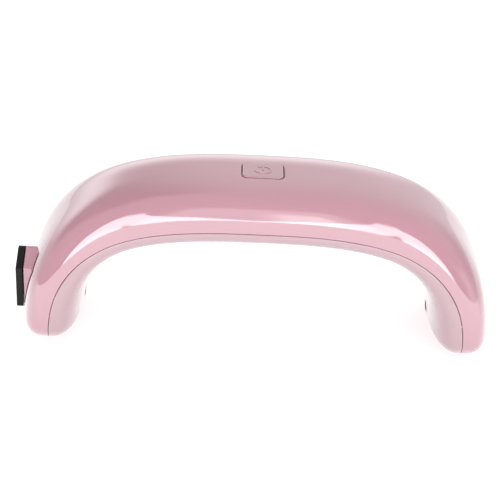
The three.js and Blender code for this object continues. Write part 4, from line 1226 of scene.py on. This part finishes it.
class NAILLAMP_OT_stage(bpy.types.Operator):
    """Sets the pale floor, the soft lights and the camera at the photograph's angle"""

    bl_idname = "naillamp.stage"
    bl_label = "Stage"

    FLOOR_SIZE = 0.9
    FLOOR_PLACE = (0, 0.15, -0.1 * MM)
    # how strongly the floor is lifted for the camera
    FLOOR_LIFT = 0.6
    # and in reflections: strength and depth in metres where it is fully lifted, and where it no longer is
    MIRRORED_LIFT = (1.4, -0.08, 0.3, 0.07)
    # strength at the horizon and overhead
    DOME = (0.84, 0.9)
    PANELS = (
        # strength, slant, left, right, low, high, side blur and top blur
        (3.2, 0.45, -11.7, -2.7, -16, 36, 0.6, 9),
        (3.0, -0.45, 5, 13.8, -16, 34, 0.6, 10),
        (1.3, 0, 2, 7, -16, 24, 1, 8),
        (0.75, 0, -9, 12, -16, 46, 2.5, 8),
        (-0.38, 0, -170, -110, 14, 60, 14, 6),
        (0.5, 0, 45, 85, -16, 20, 12, 8),
        (-0.2, 0, 105, 145, 1, 20, 10, 7),
        (0.5, 0, 166, 200, 2, 17, 10, 6),
        (0.5, 0, -200, -140, 2, 17, 10, 6),
    )

    def execute(self, context):
        scene = context.scene
        scene.view_settings.view_transform = "Standard"
        deselect()
        bpy.ops.mesh.primitive_plane_add(size=self.FLOOR_SIZE, location=self.FLOOR_PLACE)
        floor = started("floor")
        floor.data.materials.append(self.floor_finish(scene.naillamp_finish.floor))
        floor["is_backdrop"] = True
        self.light_world(scene)
        self.place_camera(scene)
        return {"FINISHED"}

    def floor_finish(self, colour):
        """Matte paper: it lights up to white for the camera and in gloss, and keeps the lamp's shadow."""
        material, tree, place_at = new_material("Matte white paper")
        fibre = add_node(tree, "TexNoise", {"Vector": place_at, "Scale": 1 / (2 * MM), "Detail": 3})
        bump = add_node(tree, "Bump", {"Height": fibre, "Strength": 0.05, "Distance": 0.02 * MM})
        paper = add_node(tree, "BsdfDiffuse", {"Color": linear(colour), "Normal": bump})
        path = add_node(tree, "LightPath").outputs
        mirrored = add_node(tree, "Math", {0: path["Is Transmission Ray"], 1: path["Is Glossy Ray"]},
                            operation="MAXIMUM")
        direct = add_node(tree, "Math", {0: path["Is Camera Ray"], 1: self.FLOOR_LIFT}, operation="MULTIPLY")
        lit, lit_from, unlit, unlit_from = self.MIRRORED_LIFT
        depth = add_node(tree, "SeparateXYZ", {0: place_at}).outputs["Y"]
        front = add_node(tree, "MapRange", {"Value": depth, "From Min": lit_from, "From Max": unlit_from,
                                            "To Min": lit, "To Max": unlit}, interpolation_type="SMOOTHSTEP")
        strength = add_node(tree, "Math", {0: mirrored, 1: front, 2: direct}, operation="MULTIPLY_ADD")
        lift = add_node(tree, "Emission", {"Color": (1, 1, 1, 1), "Strength": strength})
        return surfaced(material, add_node(tree, "AddShader", {0: paper, 1: lift}))

    def light_world(self, scene):
        """A studio in the world's own shader: a soft dome with slanted side panels and low panels around."""
        scene.world = scene.world or bpy.data.worlds.new("Studio")
        scene.world.use_nodes = True
        tree = scene.world.node_tree
        tree.nodes.clear()
        direction = add_node(tree, "TexCoord").outputs["Generated"]
        axes = add_node(tree, "SeparateXYZ", {0: direction}).outputs
        front = add_node(tree, "Math", {0: axes["Y"], 1: -1.0}, operation="MULTIPLY")
        around = add_node(tree, "Math", {0: axes["X"], 1: front}, operation="ARCTAN2")
        above = add_node(tree, "Math", {0: axes["Z"]}, operation="ARCSINE")

        def step(angle, centre, blur):
            """0 below an angle and 1 above it, over a soft edge, in degrees."""
            low, high = math.radians(centre - blur), math.radians(centre + blur)
            return add_node(tree, "MapRange", {"Value": angle, "From Min": low, "From Max": high},
                            interpolation_type="SMOOTHSTEP")

        def panel(strength, slant, left, right, low, high, blur, top_blur):
            """A soft panel between two directions and two heights, in degrees, that leans with height."""
            leaning = add_node(tree, "Math", {0: above, 1: slant, 2: around}, operation="MULTIPLY_ADD")
            sides = add_node(tree, "Math", {0: step(leaning, left, blur), 1: step(leaning, right, blur)},
                             operation="SUBTRACT")
            heights = add_node(tree, "Math", {0: step(above, low, top_blur), 1: step(above, high, top_blur)},
                               operation="SUBTRACT")
            both = add_node(tree, "Math", {0: sides, 1: heights}, operation="MULTIPLY")
            return add_node(tree, "Math", {0: both, 1: strength}, operation="MULTIPLY")

        total = add_node(tree, "MapRange", {"Value": above, "From Min": 0, "From Max": QUARTER,
                                            "To Min": self.DOME[0], "To Max": self.DOME[1]})
        for values in self.PANELS:
            total = add_node(tree, "Math", {0: total, 1: panel(*values)}, operation="ADD")
        path = add_node(tree, "LightPath").outputs
        shown = add_node(tree, "Math", {0: path["Is Camera Ray"], 1: path["Is Transmission Ray"]},
                         operation="MAXIMUM")
        seen = add_node(tree, "Mix", {0: shown, 2: total.outputs[0], 3: 1.0})
        background = add_node(tree, "Background", {"Color": (1, 1, 1, 1), "Strength": seen})
        add_node(tree, "OutputWorld", {"Surface": background})

    def place_camera(self, scene):
        view = scene.naillamp_camera
        data = bpy.data.cameras.new("camera")
        camera = bpy.data.objects.new("camera", data)
        scene.collection.objects.link(camera)
        data.lens, data.sensor_width = view.lens, 36
        data.shift_x, data.shift_y = view.shift_x, view.shift_y
        data.clip_start, data.clip_end = 0.01, 20
        flat = math.cos(view.elevation)
        back = Vector((math.sin(view.yaw) * flat, -math.cos(view.yaw) * flat, math.sin(view.elevation)))
        right = Vector((math.cos(view.yaw), math.sin(view.yaw), 0))
        up = back.cross(right)
        x_axis = math.cos(view.roll) * right + math.sin(view.roll) * up
        y_axis = math.cos(view.roll) * up - math.sin(view.roll) * right
        turned_to = Matrix((x_axis, y_axis, back)).transposed().to_4x4()
        camera.matrix_world = Matrix.Translation(Vector(view.target) + view.distance * back) @ turned_to
        scene.camera = camera


PIECES = (
    NAILLAMP_OT_outer_shell, NAILLAMP_OT_inner_panel, NAILLAMP_OT_power_button, NAILLAMP_OT_inlet_plate,
    NAILLAMP_OT_receptacle, NAILLAMP_OT_lenses, NAILLAMP_OT_reflectors, NAILLAMP_OT_leds,
    NAILLAMP_OT_panel_screws, NAILLAMP_OT_inner_parts, NAILLAMP_OT_stage,
)
GROUPS = {
    "naillamp_arch": NAILLAMP_PG_arch,
    "naillamp_button": NAILLAMP_PG_button,
    "naillamp_inlet": NAILLAMP_PG_inlet,
    "naillamp_light": NAILLAMP_PG_light,
    "naillamp_finish": NAILLAMP_PG_finish,
    "naillamp_camera": NAILLAMP_PG_camera,
}


class NAILLAMP_PT_panel(bpy.types.Panel):
    """Lists the sizes, the colours and the steps that build the lamp"""

    bl_idname = "NAILLAMP_PT_panel"
    bl_label = "Mini nail lamp"
    bl_space_type = "VIEW_3D"
    bl_region_type = "UI"
    bl_category = "Nail lamp"

    def draw(self, context):
        for step in PIECES:
            self.layout.operator(step.bl_idname)
        for name, group in GROUPS.items():
            column = self.layout.box().column()
            column.label(text=group.__doc__)
            for key in group.__annotations__:
                column.prop(getattr(context.scene, name), key)


CLASSES = (*GROUPS.values(), *PIECES, NAILLAMP_PT_panel)


def register():
    for entry in CLASSES:
        bpy.utils.register_class(entry)
    for name, group in GROUPS.items():
        setattr(bpy.types.Scene, name, PointerProperty(type=group))


def unregister():
    for name in GROUPS:
        delattr(bpy.types.Scene, name)
    for entry in reversed(CLASSES):
        bpy.utils.unregister_class(entry)


def main():
    register()
    for step in PIECES:
        group, name = step.bl_idname.split(".")
        getattr(getattr(bpy.ops, group), name)()
    cad, visual = ([list(corner) for corner in corners] for corners in (FRAME_BOX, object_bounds()))


if __name__ == "__main__":
    main()
